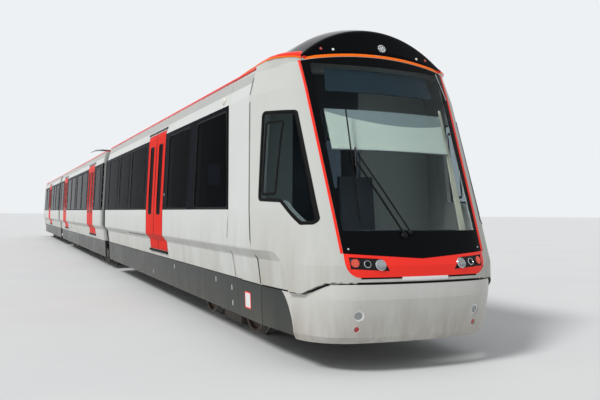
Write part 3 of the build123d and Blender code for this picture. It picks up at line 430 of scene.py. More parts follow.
# %% Windscreen
SCREEN_TINT, PRINT = "#c9d1d3", "#0b0c0e"
CLEAR_LOW_Z, CLEAR_HIGH_Z = 0.700, 1.594
CLEAR_LOW_HALF, CLEAR_HIGH_HALF = 0.397, 0.412
screen_glass, tree, shader = glass_finish("printed_windscreen", SCREEN_TINT, "#f4f6f5",
                                          Roughness=0.015, IOR=1.12)
_, x, y, z = place_of(tree)
lean = (CLEAR_HIGH_HALF - CLEAR_LOW_HALF) / (CLEAR_HIGH_Z - CLEAR_LOW_Z)
edge = add(tree, MATH, {0: z, 1: -lean, 2: from_middle(tree)[1]}, operation="MULTIPLY_ADD")
in_edge = (edge, "<", CLEAR_LOW_HALF - lean * CLEAR_LOW_Z)
clear = where(tree, in_edge, (z, "<", CLEAR_HIGH_Z), (z, ">", CLEAR_LOW_Z))
wire(shader, {"Base Color": layered(tree, PRINT, (clear, SCREEN_TINT)), "Transmission Weight": clear})
dress(screen_glass, "windscreen_a", "windscreen_c")
print("windscreens glazed")

# %% [markdown]
# The lamp panel is a red moulded shield with two black pockets. A pocket is a slanted
# four-sided shape, so four slanted tests find it.

# %% Lamp panel
PANEL_LOW_Z = 0.477
HOUSING = [(0.392, 0.098), (0.226, 0.088), (0.190, 0.030), (0.388, 0.042)]
lacquer, tree, shader = new_finish("sprayed_lamp_panel", Specular_IOR_Level=0.25)
_, x, y, z = place_of(tree)
wide = from_middle(tree)[1]
tests = []
for (y0, z0), (y1, z1) in zip(HOUSING, HOUSING[1:] + HOUSING[:1]):
    slope_y, slope_z = z1 - z0, y0 - y1
    side_term = add(tree, MATH, {0: wide, 1: slope_y}, operation="MULTIPLY")
    total = add(tree, MATH, {0: z, 1: slope_z, 2: side_term}, operation="MULTIPLY_ADD")
    tests.append((total, "<", slope_y * y0 + slope_z * (z0 + PANEL_LOW_Z)))
colour = layered(tree, "#ff2f20", (where(tree, *tests), "#08080a"))
weathered(shader, colour, dust=0.05, dust_top=0.6, rough=(0.12, 0.22))
dress(lacquer, "lamp_panel_a", "lamp_panel_c")
print("lamp pockets", len(tests), "sided")

# %% [markdown]
# Each lamp's solid is the mirror-bright bowl behind its cover. Reflectors are plastic with
# vapour-deposited aluminium, so they are metal to the eye. The low tail lamps are the
# exception: their bowl is red. The rims, covers and light points come as pieces later.

# %% Lamp bowls
TAIL_TOP_Z = 0.245
bowl, tree, shader = new_finish("metallised_lamp_bowl", Metallic=0.9, Roughness=0.25, Coat_Weight=1.0)
spot, x, y, z = place_of(tree)
flutes = add(tree, NOISE, {"Vector": spot, "Scale": 120.0, "Detail": 1.0})
low = where(tree, (z, "<", TAIL_TOP_Z))
wire(shader, {"Base Color": layered(tree, "#8f9396", (flutes, "#d6d9da"), (low, "#a8140e"))})
dress(bowl, "lamps_a", "lamps_c")
print("lamp bowls ready")

# %% [markdown]
# What hides under the skirts is dipped steel and iron castings, matt black once and brown
# with brake dust now. Castings keep the grain of their sand mould, which is drawn as the
# same 3 mm pattern as orange peel, but ten times as deep. The roof cases are folded
# aluminium sheet with a pale grey powder coat. The pantograph is welded steel tube, hot-dip
# galvanised and then painted dull red.

# %% Underframe, bogies and roof
LOW_COAT = {"dust_top": 0.5, "rough": (0.5, 0.8), "peel": 0.0004}
coat("dipped_underframe_steel", ("underframe_a", "underframe_b", "underframe_c"), "#202224", {"IOR": 1.5},
     dust=0.55, **LOW_COAT)
coat("sand_cast_bogie_iron", ("bogie_a", "bogie_b1", "bogie_b2", "bogie_c"), "#26282a", {"IOR": 1.5},
     dust=0.75, **LOW_COAT)
coat("powder_coated_roof_case", ("roof_gear_a", "roof_gear_b", "roof_gear_c"), "#9fa3a4", {"IOR": 1.5},
     dust=0.0, rough=(0.45, 0.65), peel=0.0002)
coat("painted_pantograph_steel", ("panto_base", "panto_lower", "panto_upper", "panto_rod"), "#7c1f18",
     {"IOR": 1.5}, dust=0.0, rough=(0.35, 0.55), peel=0.0002)
print("low and roof coats ready")

# %% [markdown]
# A wheel is forged steel. The tread and the flange are rolled bright in use, and the
# rest is brown with brake dust. The distance from the axle tells the two apart. Each
# wheelset stands at its own place, so each gets the same finish with its own centre.

# %% Wheel steel
TREAD_BRIGHT_R = 0.1765
for name in [n for n in nodes if n.startswith("wheelset_")]:
    axle = sum(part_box(name), Vector()) / 2
    steel, tree, shader = new_finish(f"rolled_{name}_steel")
    spot, x, y, z = place_of(tree)
    along = add(tree, MATH, {0: x, 1: axle.x}, operation="SUBTRACT")
    along = add(tree, MATH, {0: along, 1: along}, operation="MULTIPLY")
    up = add(tree, MATH, {0: z, 1: axle.z}, operation="SUBTRACT")
    reach = add(tree, MATH, {0: up, 1: up, 2: along}, operation="MULTIPLY_ADD")
    bright = where(tree, (reach, ">", TREAD_BRIGHT_R ** 2))
    grit = add(tree, NOISE, {"Vector": spot, "Scale": 40.0, "Detail": 6.0})
    rough = add(tree, RANGE, {"Value": bright, "To Min": 0.75, "To Max": 0.28})
    colour = layered(tree, "#2b2420", (grit, "#5b4a3c"), (bright, "#b9b6b0"))
    wire(shader, {"Base Color": colour, "Metallic": bright, "Roughness": rough})
    dress(steel, name)
print("wheels rolled bright")

# %% [markdown]
# Inside, the floor-mounted seats are moulded plastic in slate blue, the grab poles are
# powder-coated yellow, the driver's desk is dark moulded trim and the wall behind it is
# pale. Place tells them apart: poles are the only things above the saloon's seat backs.

# %% Interior trim
SEAT_BACK_TOP = 1.0
CAB_WALL_X, CAB_WALL_DEPTH = CAB_START - 0.21, 0.09
PALE_WALL = "#c2c7c2"
trim, tree, shader = new_finish("moulded_interior_trim", IOR=1.46)
_, x, y, z = place_of(tree)
far, wide = from_middle(tree)
tall, in_cab = where(tree, (z, ">", SEAT_BACK_TOP)), where(tree, (far, ">", CAB_WALL_X))
wall = where(tree, in_cab, (far, "<", CAB_WALL_X + CAB_WALL_DEPTH))
end = add(tree, MATH, {0: x}, operation="SIGN")
own_side = add(tree, MATH, {0: end, 1: y}, operation="MULTIPLY")
pale = [(where(tree, wall, test), PALE_WALL) for test in ((own_side, ">", 0.10), (wide, ">", 0.34))]
colour = layered(tree, "#3d5068", (tall, "#d8a928"), (in_cab, "#353d47"), *pale)
weathered(shader, colour, dust=0.0, rough=(0.35, 0.55), peel=0.0002)
dress(trim, "interior_a", "interior_b", "interior_c")
print("interior trim ready")

# %% [markdown]
# The pantograph's head is bright metal that ends in carbon strips, which are soft, dark and
# matt. The strips are the top 12 mm of its flat middle.

# %% Collector head
STRIP_LOW, STRIP_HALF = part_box("panto_head")[1].z - 0.012, 0.30
head_coat, tree, shader = new_finish("collector_head_with_carbon", Roughness=0.5)
spot, x, y, z = place_of(tree)
carbon = where(tree, (from_middle(tree)[1], "<", STRIP_HALF), (z, ">", STRIP_LOW))
grit = add(tree, NOISE, {"Vector": spot, "Scale": 90.0, "Detail": 4.0})
wire(shader, {"Base Color": layered(tree, "#8d9092", (grit, "#a9acad"), (carbon, "#1b1b1d")),
              "Metallic": add(tree, MATH, {0: 1.0, 1: carbon}, operation="SUBTRACT")})
dress(head_coat, "panto_head")
print("carbon strips above", round(STRIP_LOW, 4))

# %% [markdown]
# A few finishes serve the small pieces, such as black rubber for seals, stainless steel for
# fasteners, moulded plastic for grilles and lamp rims, and vinyl for the thin lines. In
# each, a fine noise moves the tone between two tints and the gloss with it.

# %% Finishes for small pieces


def small_finish(title, low_tint, high_tint, rough, grain=60.0, **sockets):
    """A finish whose tone wanders between two tints and whose gloss varies with it."""
    material, tree, shader = new_finish(title, **sockets)
    grit = add(tree, NOISE, {"Vector": add(tree, SPOT).outputs["Object"], "Scale": grain, "Detail": 4.0})
    gloss = add(tree, RANGE, {"Value": grit, "From Min": 0.3, "From Max": 0.7,
                              "To Min": rough[0], "To Max": rough[1]})
    wire(shader, {"Base Color": layered(tree, low_tint, (grit, high_tint)), "Roughness": gloss})
    return material


rubber = small_finish("moulded_black_rubber", "#0c0c0d", "#1d1c1b", (0.45, 0.65), Specular_IOR_Level=0.05)
stainless = small_finish("brushed_stainless_steel", "#a7a9aa", "#c4c6c7", (0.25, 0.4), Metallic=1.0)
chrome = small_finish("polished_chrome_rim", "#cfd2d4", "#e4e6e8", (0.06, 0.14), Metallic=1.0)
black_plastic = small_finish("moulded_black_plastic", "#0a0a0b", "#161617", (0.3, 0.45),
                             Specular_IOR_Level=0.12)
red_line = small_finish("red_vinyl_line", "#f02c1e", "#fb3a28", (0.25, 0.35), Specular_IOR_Level=0.1)
orange_line = small_finish("orange_vinyl_line", "#ff6c14", "#ff7e1c", (0.25, 0.35), Specular_IOR_Level=0.1)
white_plate = small_finish("enamelled_white_plate", "#dfe0df", "#e9e9e8", (0.2, 0.3), IOR=1.5)
cream_trim = small_finish("moulded_cream_trim", "#c9c4ae", "#d6d1bc", (0.4, 0.55), IOR=1.46)
lamp_white = small_finish("moulded_lamp_diffuser", "#d4d8d8", "#f0f2f0", (0.12, 0.2), IOR=1.5)
lamp_red = small_finish("moulded_red_lens", "#a3120c", "#c81d14", (0.1, 0.18), IOR=1.5, Coat_Weight=1.0)
lamp_glass = small_finish("pressed_lamp_glass", "#666c6e", "#b2b7b8", (0.1, 0.2), grain=200.0, IOR=1.5)
lamp_led = small_finish("red_indicator_points", "#ff4a2c", "#ff7350", (0.1, 0.18), IOR=1.5)
lamp_amber = small_finish("moulded_amber_lens", "#c8702a", "#e09a4e", (0.1, 0.18), IOR=1.5, Coat_Weight=1.0)
beige_plastic = small_finish("moulded_pale_pod", "#d3cfc4", "#e2dfd6", (0.4, 0.55), IOR=1.5)
galvanised = small_finish("galvanised_steel", "#7d8183", "#a5a9ab", (0.4, 0.6), grain=25.0, Metallic=0.9)
porcelain = small_finish("glazed_insulator", "#5a2a1c", "#6e3524", (0.12, 0.2), IOR=1.5, Coat_Weight=0.5)
shoulder_lacquer = small_finish("sprayed_shoulder_lacquer", "#c3c4bf", "#cdcec9", (0.2, 0.35),
                                Specular_IOR_Level=0.05)
display_glass = small_finish("printed_display_glass", "#1c2a33", "#263842", (0.12, 0.2), grain=4.0, IOR=1.3)
hoop_metal = small_finish("anodised_aluminium_hoop", "#3a3c3e", "#505254", (0.35, 0.5), Metallic=0.7)
print("materials", len(bpy.data.materials))

# %% [markdown]
# Pieces are built as lists of points and faces, because that keeps their sizes exact. One
# function turns such a shape into an object that rides on a body. Its edges are smooth up
# to 35 degrees. What the front has, the rear has too, after half a turn.

# %% Mesh helpers


def piece(name, shape, finish, body, sharp=35.0):
    """Make an object from points and faces."""
    points, faces = shape
    mesh = bpy.data.meshes.new(name)
    mesh.from_pydata([tuple(p) for p in points], [], [tuple(f) for f in faces])
    work = bmesh.new()
    work.from_mesh(mesh)
    bmesh.ops.recalc_face_normals(work, faces=work.faces[:])
    work.to_mesh(mesh)
    work.free()
    mesh.materials.append(finish)
    mesh.shade_smooth()
    mesh.set_sharp_from_angle(angle=math.radians(sharp))
    made = bpy.data.objects.new(name, mesh)
    scene.collection.objects.link(made)
    if body:
        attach(made, body)
    return made


def join(*shapes):
    points, faces = [], []
    for more_points, more_faces in shapes:
        start = len(points)
        points += list(more_points)
        faces += [[i + start for i in face] for face in more_faces]
    return points, faces


def at_both_ends(name, shape, finish):
    """The same piece at the front and, after half a turn about the vehicle's middle, at the rear."""
    turned = [Vector((-p[0], -p[1], p[2])) for p in shape[0]], shape[1]
    return piece(f"{name}_a", shape, finish, "section_a"), piece(f"{name}_c", turned, finish, "section_c")


print("smooth up to 35 degrees")

# %% [markdown]
# Most small pieces are lofts: a skin over rings of points. A tube is a loft of circles that
# follow a path, and a turned shape is a loft of circles on one axis.

# %% Lofts, tubes and turned shapes


def loft(rings, loop=False):
    """Skin over rings of equal counts; the ends are capped unless the rings meet again."""
    n, count = len(rings[0]), len(rings)
    points = [p for ring in rings for p in ring]
    faces = []
    for i in range(count if loop else count - 1):
        a, b = i * n, (i + 1) % count * n
        faces += [(a + j, a + (j + 1) % n, b + (j + 1) % n, b + j) for j in range(n)]
    if not loop:
        faces += [tuple(range(n)), tuple(range((count - 1) * n, count * n))]
    return points, faces


def circle(centre, radius, count, u=X, v=Y, whole=2 * math.pi, last=0):
    """Points round a circle or an arc, in the plane of two directions."""
    turns = [whole * k / count for k in range(count + last)]
    return [centre + radius * (math.cos(t) * u + math.sin(t) * v) for t in turns]


def tube(path, radius, sides=12, loop=False):
    """Round tube along points."""
    points = [Vector(p) for p in path]
    count = len(points)
    rings, normal = [], None
    for i, p in enumerate(points):
        if loop:
            ahead = points[(i + 1) % count] - points[i - 1]
        else:
            ahead = points[min(i + 1, count - 1)] - points[max(i - 1, 0)]
        ahead.normalize()
        normal = ahead.orthogonal() if normal is None else normal - normal.dot(ahead) * ahead
        normal.normalize()
        rings.append(circle(p, radius, sides, normal, ahead.cross(normal)))
    return loft(rings, loop)


def lathe(profile, place, axis, sides=32, ring=False):
    """Turn (radius, height) points about an axis through a place; ring closes the profile."""
    axis = Vector(axis).normalized()
    u = axis.orthogonal().normalized()
    v = axis.cross(u)
    return loft([circle(Vector(place) + height * axis, r, sides, u, v) for r, height in profile], ring)


print("points on a tube of two stations", len(tube([Vector(), Z], 0.01)[0]))

# %% [markdown]
# Three surfaces carry the trim. On the saloon side the table of half widths is exact. On
# the nose and the cab's side there is no formula, so a ray is dropped on the real solids.
# It looks at five points close together, so that a narrow panel gap does no harm.

# %% Surfaces that carry trim
AROUND = [(0.0, 0.0), (0.005, 0.0), (-0.005, 0.0), (0.0, 0.005), (0.0, -0.005)]
SAME_SKIN = 0.010


def on_side(side):
    """Place on the saloon's side; nothing stands proud of the widest part of the body."""
    return lambda x, z, rise: Vector((x, side * min(between(SKIN, z) + rise, BODY_HALF), z))


def lay_on(names, origin, toward, u_axis, v_axis):
    """A place function that drops points on solids, from an origin towards them."""
    points, faces = join(*[([v.co.copy() for v in nodes[name].data.vertices],
                            [tuple(face.vertices) for face in nodes[name].data.polygons]) for name in names])
    solids = BVHTree.FromPolygons(points, faces)

    def place(u, v, rise):
        hits = []
        for du, dv in AROUND:
            start = origin + (u + du) * u_axis + (v + dv) * v_axis
            hit, normal, _, distance = solids.ray_cast(start, toward)
            if hit is not None:
                hits.append((distance, hit, normal))
        nearest = min(h[0] for h in hits)
        near = [h for h in hits if h[0] < nearest + SAME_SKIN]
        point = sum((h[1] for h in near), Vector()) / len(near)
        normal = sum((h[2] for h in near), Vector()).normalized()
        return point + rise * normal
    return place


NOSE = ("cab_a", "windscreen_a", "lamp_panel_a", "bumper_a", "hood_a", "lamps_a")
CAB_SIDE = ("cab_a", "body_a", "windows_a", "bumper_a", "skirts_a")
on_nose = lay_on(NOSE, 11.0 * X, -X, Y, Z)
on_cab = {side: lay_on(CAB_SIDE, side * Y, -side * Y, X, Z) for side in SIDES}
on_roof = lay_on(("body_a", "body_b"), 3.0 * Z, -Z, X, Y)
print("nose at lamp height", round(on_nose(0.0, 0.62, 0.0).x, 4))

# %% [markdown]
# Each side window is a pane bonded into its opening with a black rubber frame. The panes'
# own solids tell where the frames go: each island of the mesh is one pane, and its lowest
# and highest corners give the outline, with the raked one measured along its top too.

# %% Pane outlines


def islands(name):
    """Groups of points that faces join."""
    mesh = nodes[name].data
    root = list(range(len(mesh.vertices)))

    def find(i):
        while root[i] != i:
            root[i] = root[root[i]]
            i = root[i]
        return i

    same_place = {}
    for v in mesh.vertices:
        key = tuple(round(c, 5) for c in v.co)
        root[find(v.index)] = find(same_place.setdefault(key, v.index))
    for face in mesh.polygons:
        for i in face.vertices[1:]:
            root[find(i)] = find(face.vertices[0])
    groups = {}
    for v in mesh.vertices:
        groups.setdefault(find(v.index), []).append(v.co.copy())
    return list(groups.values())


def reach_of(group):
    """Lowest and highest corner of a group of points."""
    return [Vector(pick(p[i] for p in group) for i in range(3)) for pick in (min, max)]


def outline(group):
    """Corners of a pane in x and z, counterclockwise from its rear foot."""
    low, high = reach_of(group)
    foot = [p.x for p in group if p.z < low.z + 0.04]
    top = [p.x for p in group if p.z > high.z - 0.04]
    return [(min(foot), low.z), (max(foot), low.z), (max(top), high.z), (min(top), high.z)]


panes = {}
for name, _ in SECTIONS:
    groups = islands(f"windows_{name}")
    panes[name] = [(1 if group[0].y > 0 else -1, outline(group)) for group in groups]
print("panes", {name: len(rows) for name, rows in panes.items()})

# %% [markdown]
# Frames, lines and gutters are raised strips. A strip is a loft too: a low section with
# bevelled edges runs along a path of points on a surface, and sinks a little into it, so
# that no gap shows. Corners are rounded first, and straight runs get stations in between.

# %% Paths and strips


def stations(points, step=0.05):
    """Open path of (u, v) points with a station about every step."""
    path = [tuple(points[0])]
    for a, b in zip(map(Vector, points), map(Vector, points[1:])):
        count = max(1, round((b - a).length / step))
        path += [tuple(a.lerp(b, k / count)) for k in range(1, count + 1)]
    return path


def rounded(corners, radius, step=0.05, turns=6):
    """Closed path of (u, v) points round a polygon with rounded corners."""
    path = []
    for i in range(len(corners)):
        before, here, after = (Vector(corners[(i + k) % len(corners)]) for k in (-1, 0, 1))
        back, ahead = (before - here).normalized(), (after - here).normalized()
        half_angle = math.acos(max(-1.0, min(1.0, back.dot(ahead)))) / 2
        cut = radius / math.tan(half_angle)
        start, end = here + cut * back, here + cut * ahead
        if path:
            path += stations([path[-1], start], step)[1:-1]
        centre = here + (back + ahead).normalized() * (radius / math.sin(half_angle))
        a, b = start - centre, end - centre
        total = a.angle_signed(b)
        for k in range(turns + 1):
            t = -total * k / turns
            path.append((centre.x + a.x * math.cos(t) - a.y * math.sin(t),
                         centre.y + a.x * math.sin(t) + a.y * math.cos(t)))
    return path + stations([path[-1], path[0]], step)[1:-1]


def strip(path, half, rise, place, loop=False, sink=0.002):
    """Raised strip along (u, v) points; place turns u, v and a height into a point."""
    section = [(-1.0, -sink), (-1.0, 0.5 * rise), (-0.6, rise), (0.6, rise), (1.0, 0.5 * rise), (1.0, -sink)]
    rings = []
    count = len(path)
    for i, (u, v) in enumerate(path):
        before = path[i - 1] if i or loop else path[i]
        after = path[(i + 1) % count] if i < count - 1 or loop else path[i]
        du, dv = after[0] - before[0], after[1] - before[1]
        off_u, off_v = -half * dv / math.hypot(du, dv), half * du / math.hypot(du, dv)
        rings.append([place(u + a * off_u, v + a * off_v, height) for a, height in section])
    return loft(rings, loop)


def seam(points, step, half, rise, place, **settings):
    """Strip along straight runs, with a station about every step."""
    return strip(stations(points, step), half, rise, place, **settings)


print("stations on a metre", len(stations([(0.0, 0.0), (1.0, 0.0)])))

# %% [markdown]
# A frame is a strip 13 mm wide, half on the pane and half on the wall. Door windows are
# narrow and have a slimmer frame that lies on the glass, since the leaf is at the body's
# full width there. The cab's own windows are left for later: they have more corners.

# %% Window frames
FRAME_HALF, FRAME_RISE, DOOR_FRAME_HALF = 0.0065, 0.0025, 0.0045
NARROW, PANE_RADIUS = 0.2, 0.030
for name, body in SECTIONS:
    frames = []
    for side, ((x0, z0), (x1, _), (x2, z1), (x3, _)) in panes[name]:
        if max(abs(x0), abs(x1)) > CAB_START - 0.05:
            continue
        half, inset = (DOOR_FRAME_HALF, DOOR_FRAME_HALF) if abs(x1 - x0) < NARROW else (FRAME_HALF, 0.0)
        low, high = z0 + inset, z1 - inset
        box = [(x0 + inset, low), (x1 - inset, low), (x2 - inset, high), (x3 + inset, high)]
        path = rounded(box, PANE_RADIUS - inset, 0.12)
        frames.append(strip(path, half, FRAME_RISE, on_side(side), loop=True))
    piece(f"window_frames_{name}", join(*frames), rubber, body)
    print("frames on", body, len(frames))

# %% [markdown]
# Over each doorway runs a black rail that covers the door gear, with a thin white drip line
# under it, and below the doorway is the edge of the folding step. A red gutter closes the
# side against the roof. The finger guards can't stand proud of the flat wall, so only their
# upper half, where the side leans in, gets a raised bead. A round push button with a metal
# ring sits on the pillar beside each doorway.

# %% Doorway trim and gutters
HEADER_Z, DRIP_Z, STEP_Z, GUTTER_Z = 1.500, 1.484, 0.437, SHOULDER_Z - 0.004
BUTTON_Z, BUTTON_AWAY, GUTTER_INSET = 0.93, 0.045, 0.032
BEAD_LOW, BEAD_HIGH = SILL_Z + 0.03, CANT_Z + 0.035
BUTTON_RING = [(0.012, -0.001), (0.012, 0.003), (0.009, 0.004), (0.0085, -0.001)]
BUTTON_CAP = [(0.0085, -0.001), (0.008, 0.002), (0.005, 0.0032), (0.001, 0.0036)]
doorways = {"a": [door_middle["a"]], "c": [-door_middle["a"]], "b": [-door_middle["b"], door_middle["b"]]}
for name, body in SECTIONS:
    rails, drips, steps, gutters, beads, rings, caps = [], [], [], [], [], [], []
    for side in SIDES:
        place = on_side(side)
        for middle in doorways[name]:
            a, b = middle - DOOR_HALF, middle + DOOR_HALF
            rails.append(seam([(a - 0.01, HEADER_Z), (b + 0.01, HEADER_Z)], 0.15, 0.010, 0.010, place))
            drips.append(seam([(a - 0.01, DRIP_Z), (b + 0.01, DRIP_Z)], 0.15, 0.003, 0.005, place))
            steps.append(seam([(a, STEP_Z), (b, STEP_Z)], 0.15, 0.011, 0.014, place))
            beads.append(seam([(middle, BEAD_LOW), (middle, BEAD_HIGH)], 0.1, 0.005, 0.003, place))
            beads += [seam([(x, BEAD_LOW), (x, BEAD_HIGH + 0.006)], 0.1, 0.005, 0.002, place) for x in (a, b)]
            at, out = place(b + BUTTON_AWAY, BUTTON_Z, 0.0), Vector((0, side, LEAN_IN))
            rings.append(lathe(BUTTON_RING, at, out, 24, True))
            caps.append(lathe(BUTTON_CAP, at, out, 20))
        a, b = span(name, GUTTER_INSET, CAB_START - 0.135)
        gutters.append(seam([(a, GUTTER_Z), (b, GUTTER_Z)], 0.4, 0.006, 0.006, place))
    for title, shapes, finish in (
            ("door_header_rails", rails, black_plastic), ("door_drip_lines", drips, white_plate),
            ("door_steps", steps, rubber), ("roof_gutters", gutters, red_line),
            ("finger_guards", beads, rubber), ("button_rings", rings, stainless),
            ("button_caps", caps, lamp_amber)):
        piece(f"{title}_{name}", join(*shapes), finish, body)
    print("doorways on", body, len(rails))

# %% [markdown]
# The nose is where the eye goes first. A red vinyl line runs up both windscreen pillars,
# and an orange one separates the glass from the black hood. They follow the outline of the
# glass: a low corner, a high corner and a crown on each side of the middle.

# %% Lines round the windscreen
GLASS_LOW, GLASS_HIGH, GLASS_CROWN_Z = (0.4125, 0.592), (0.454, 1.606), 1.650
LINE_HALF, LINE_AWAY, LINE_TOP = 0.0060, 0.007, GLASS_HIGH[1] + 0.010


def crown_arc(half, edge_z, crown_z, count=24):
    """Points along a flat arc over the nose, from right to left."""
    rise = crown_z - edge_z
    radius = (half * half + rise * rise) / (2 * rise)
    reach = math.asin(half / radius)
    angles = [reach * (2 * k / count - 1) for k in range(count + 1)]
    return [(radius * math.sin(t), crown_z - radius + radius * math.cos(t)) for t in angles]


lines = []
for side, half in ((-1, LINE_HALF), (1, 1.5 * LINE_HALF)):
    pillar = [(side * (y + LINE_AWAY), z) for y, z in (GLASS_LOW, (GLASS_HIGH[0], LINE_TOP))]
    lines.append(seam(pillar, 0.06, half, 0.0020, on_nose))
at_both_ends("pillar_lines", join(*lines), red_line)
over_glass = crown_arc(GLASS_HIGH[0], LINE_TOP, GLASS_CROWN_Z + 0.010)
at_both_ends("hood_line", strip(over_glass, 0.008, 0.0015, on_nose), orange_line)
print("windscreen lines laid")

# %% [markdown]
# The hood is a vaulted cover. Its front is a black shield that carries on the windscreen's
# slant up to a true arc, and behind that edge the crown rises a little, runs level and drops
# to the roof. We lay it as columns of points: up the shield, round the edge, over the top.
# On the left the foot stands one column in, so the cover is doubled along its last millimetre.

# %% Hood cover
HOOD_HALF, HOOD_CREST, EDGE_CREST = 0.4514, 1.8730, 1.817
EDGE_R, BACK_R, HOOD_ROUND = 0.655, 0.595, 0.016
HOOD_LEVEL_X, HOOD_DROP_X, HOOD_BACK_X = 9.250, 9.080, 8.930
HOOD_FOOT_Z, BACK_LOW, BACK_VAULT = 1.618, 1.630, 0.040
SHIELD_LOW, SHIELD_SAG = GLASS_CROWN_Z + 0.018, 0.044
NOSE_PLAN_R, NOSE_X0, NOSE_RAKE = 1.684, 10.2228, 0.397


def shield(y, z):
    """Point on the slanting front plane of the nose, rounded in plan."""
    return Vector((NOSE_X0 - NOSE_RAKE * z - (NOSE_PLAN_R - math.sqrt(NOSE_PLAN_R ** 2 - y * y)), y, z))


def on_hood(y, z):
    """Centre and outward direction of a lamp on the shield."""
    out = Vector((1.0, y / NOSE_PLAN_R, NOSE_RAKE)).normalized()
    return shield(y, z) + 0.0005 * out, out


def grid_faces(rows, columns):
    """Four-sided faces over a grid of points, row by row."""
    n = columns + 1
    corners = [j * n + i for j in range(rows) for i in range(columns)]
    return [(k, k + 1, k + n + 1, k + n) for k in corners]


def hood_column(y):
    """Points from the shield's foot up, over the edge and back down to the roof."""
    low = shield(y, SHIELD_LOW - SHIELD_SAG * (y / GLASS_HIGH[0]) ** 2)
    edge = shield(y, EDGE_CREST - EDGE_R + math.sqrt(EDGE_R ** 2 - y * y))
    crest = Vector((HOOD_LEVEL_X, y, HOOD_CREST - BACK_R + math.sqrt(BACK_R ** 2 - y * y)))
    over = [edge + (crest - edge) * k / 12 for k in range(1, 13)]
    for k, point in enumerate(over, 1):
        point.z = edge.z + (crest.z - edge.z) * (1 - (1 - k / 12) ** 1.5)
    small = min(HOOD_ROUND, 0.4 * (edge.z - low.z))
    start = edge + small * (low - edge).normalized()
    end = edge + small * (over[0] - edge).normalized()
    bend = [(1 - u) ** 2 * start + 2 * u * (1 - u) * edge + u * u * end for u in (0.25, 0.5, 0.75, 1.0)]
    base = BACK_LOW + BACK_VAULT * (1 - (y / HOOD_HALF) ** 2)
    level = [Vector((HOOD_LEVEL_X + (HOOD_DROP_X - HOOD_LEVEL_X) * k / 3, y, crest.z)) for k in (1, 2, 3)]
    along, down = (HOOD_BACK_X - HOOD_DROP_X) * X, (crest.z - base) * Z
    drop = circle(Vector((HOOD_DROP_X, y, base)), 1.0, 8, down, along, math.pi / 2, last=1)[1:]
    return [low + (start - low) * k / 5 for k in range(6)] + bend + over[1:] + level + drop


columns = [hood_column(HOOD_HALF * math.sin(math.pi / 2 * (k / 24 - 1))) for k in range(49)]
feet = [[Vector((p.x, p.y, min(p.z, HOOD_FOOT_Z))) for p in columns[end]] for end in (0, -1)]
columns = [feet[0], *columns[:-1], feet[1], columns[-1]]
faces = grid_faces(len(columns) - 1, len(columns[0]) - 1)
covers = at_both_ends("hood_cover", ([p for column in columns for p in column], faces), hood_finish)
for cover, name in zip(covers, ("hood_a", "hood_c")):
    thick = cover.modifiers.new("sheet_thickness", "SOLIDIFY")
    thick.thickness = 0.003
    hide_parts(name)
print("hood cover with", len(columns), "columns")

# %% [markdown]
# Low red shoulders join the hood's foot to the red edge of the roof. A table gives, at each
# place along, how tall a shoulder is and how far it has shifted to the middle. A pale flank
# closes it down to the cab's side, and an orange line runs along its edge.

# %% Hood shoulders
SHOULDER = ((8.740, 0.000, 0.0), (8.900, 0.016, 0.0), (9.050, 0.027, 0.0), (9.200, 0.034, 0.0),
            (9.330, 0.037, 0.004), (9.400, 0.038, 0.022), (9.450, 0.036, 0.060), (9.490, 0.030, 0.098),
            (9.520, 0.012, 0.125))
SHOULDER_SHAPE = ((0.578, 1.613, 0.55), (0.562, 1.618, 0.95), (0.525, 1.625, 1.1), (0.450, 1.637, 1.2),
                  (0.440, 1.628, 0.0))
SHOULDER_FOOT_Z, FLANK = 1.585, 0.010
shoulders, feet, edges = [], [], []
for side in SIDES:
    rings, flank = [], []
    for x, tall, shift in SHOULDER:
        rings.append([Vector((x, side * (y - shift), z + grow * tall)) for y, z, grow in SHOULDER_SHAPE])
        top, low = rings[-1][0], on_cab[side](x, SHOULDER_FOOT_Z + 0.2 * max(0.0, x - 9.40), 0.0005)
        flank.append([low, top, top - side * FLANK * Y, low - side * FLANK * Y])
    shoulders.append(loft(rings))
    feet.append(loft(flank))
    edges.append(tube([ring[0] for ring in rings] + [shield(side * 0.459, 1.616)], 0.0045, 10))
at_both_ends("hood_shoulders", join(*shoulders), red_line)
at_both_ends("hood_shoulder_feet", join(*feet), shoulder_lacquer)
at_both_ends("hood_side_lines", join(*edges), orange_line)
print("shoulders with", len(SHOULDER), "sections each")

# %% [markdown]
# The edge between the cab and the bumper is a wide black joint that climbs at the front
# corners. The panel's lower edge and the joint behind the cab get thinner rubber, laid in
# the gaps that the solids leave, and a white flap closes the opening under the panel.

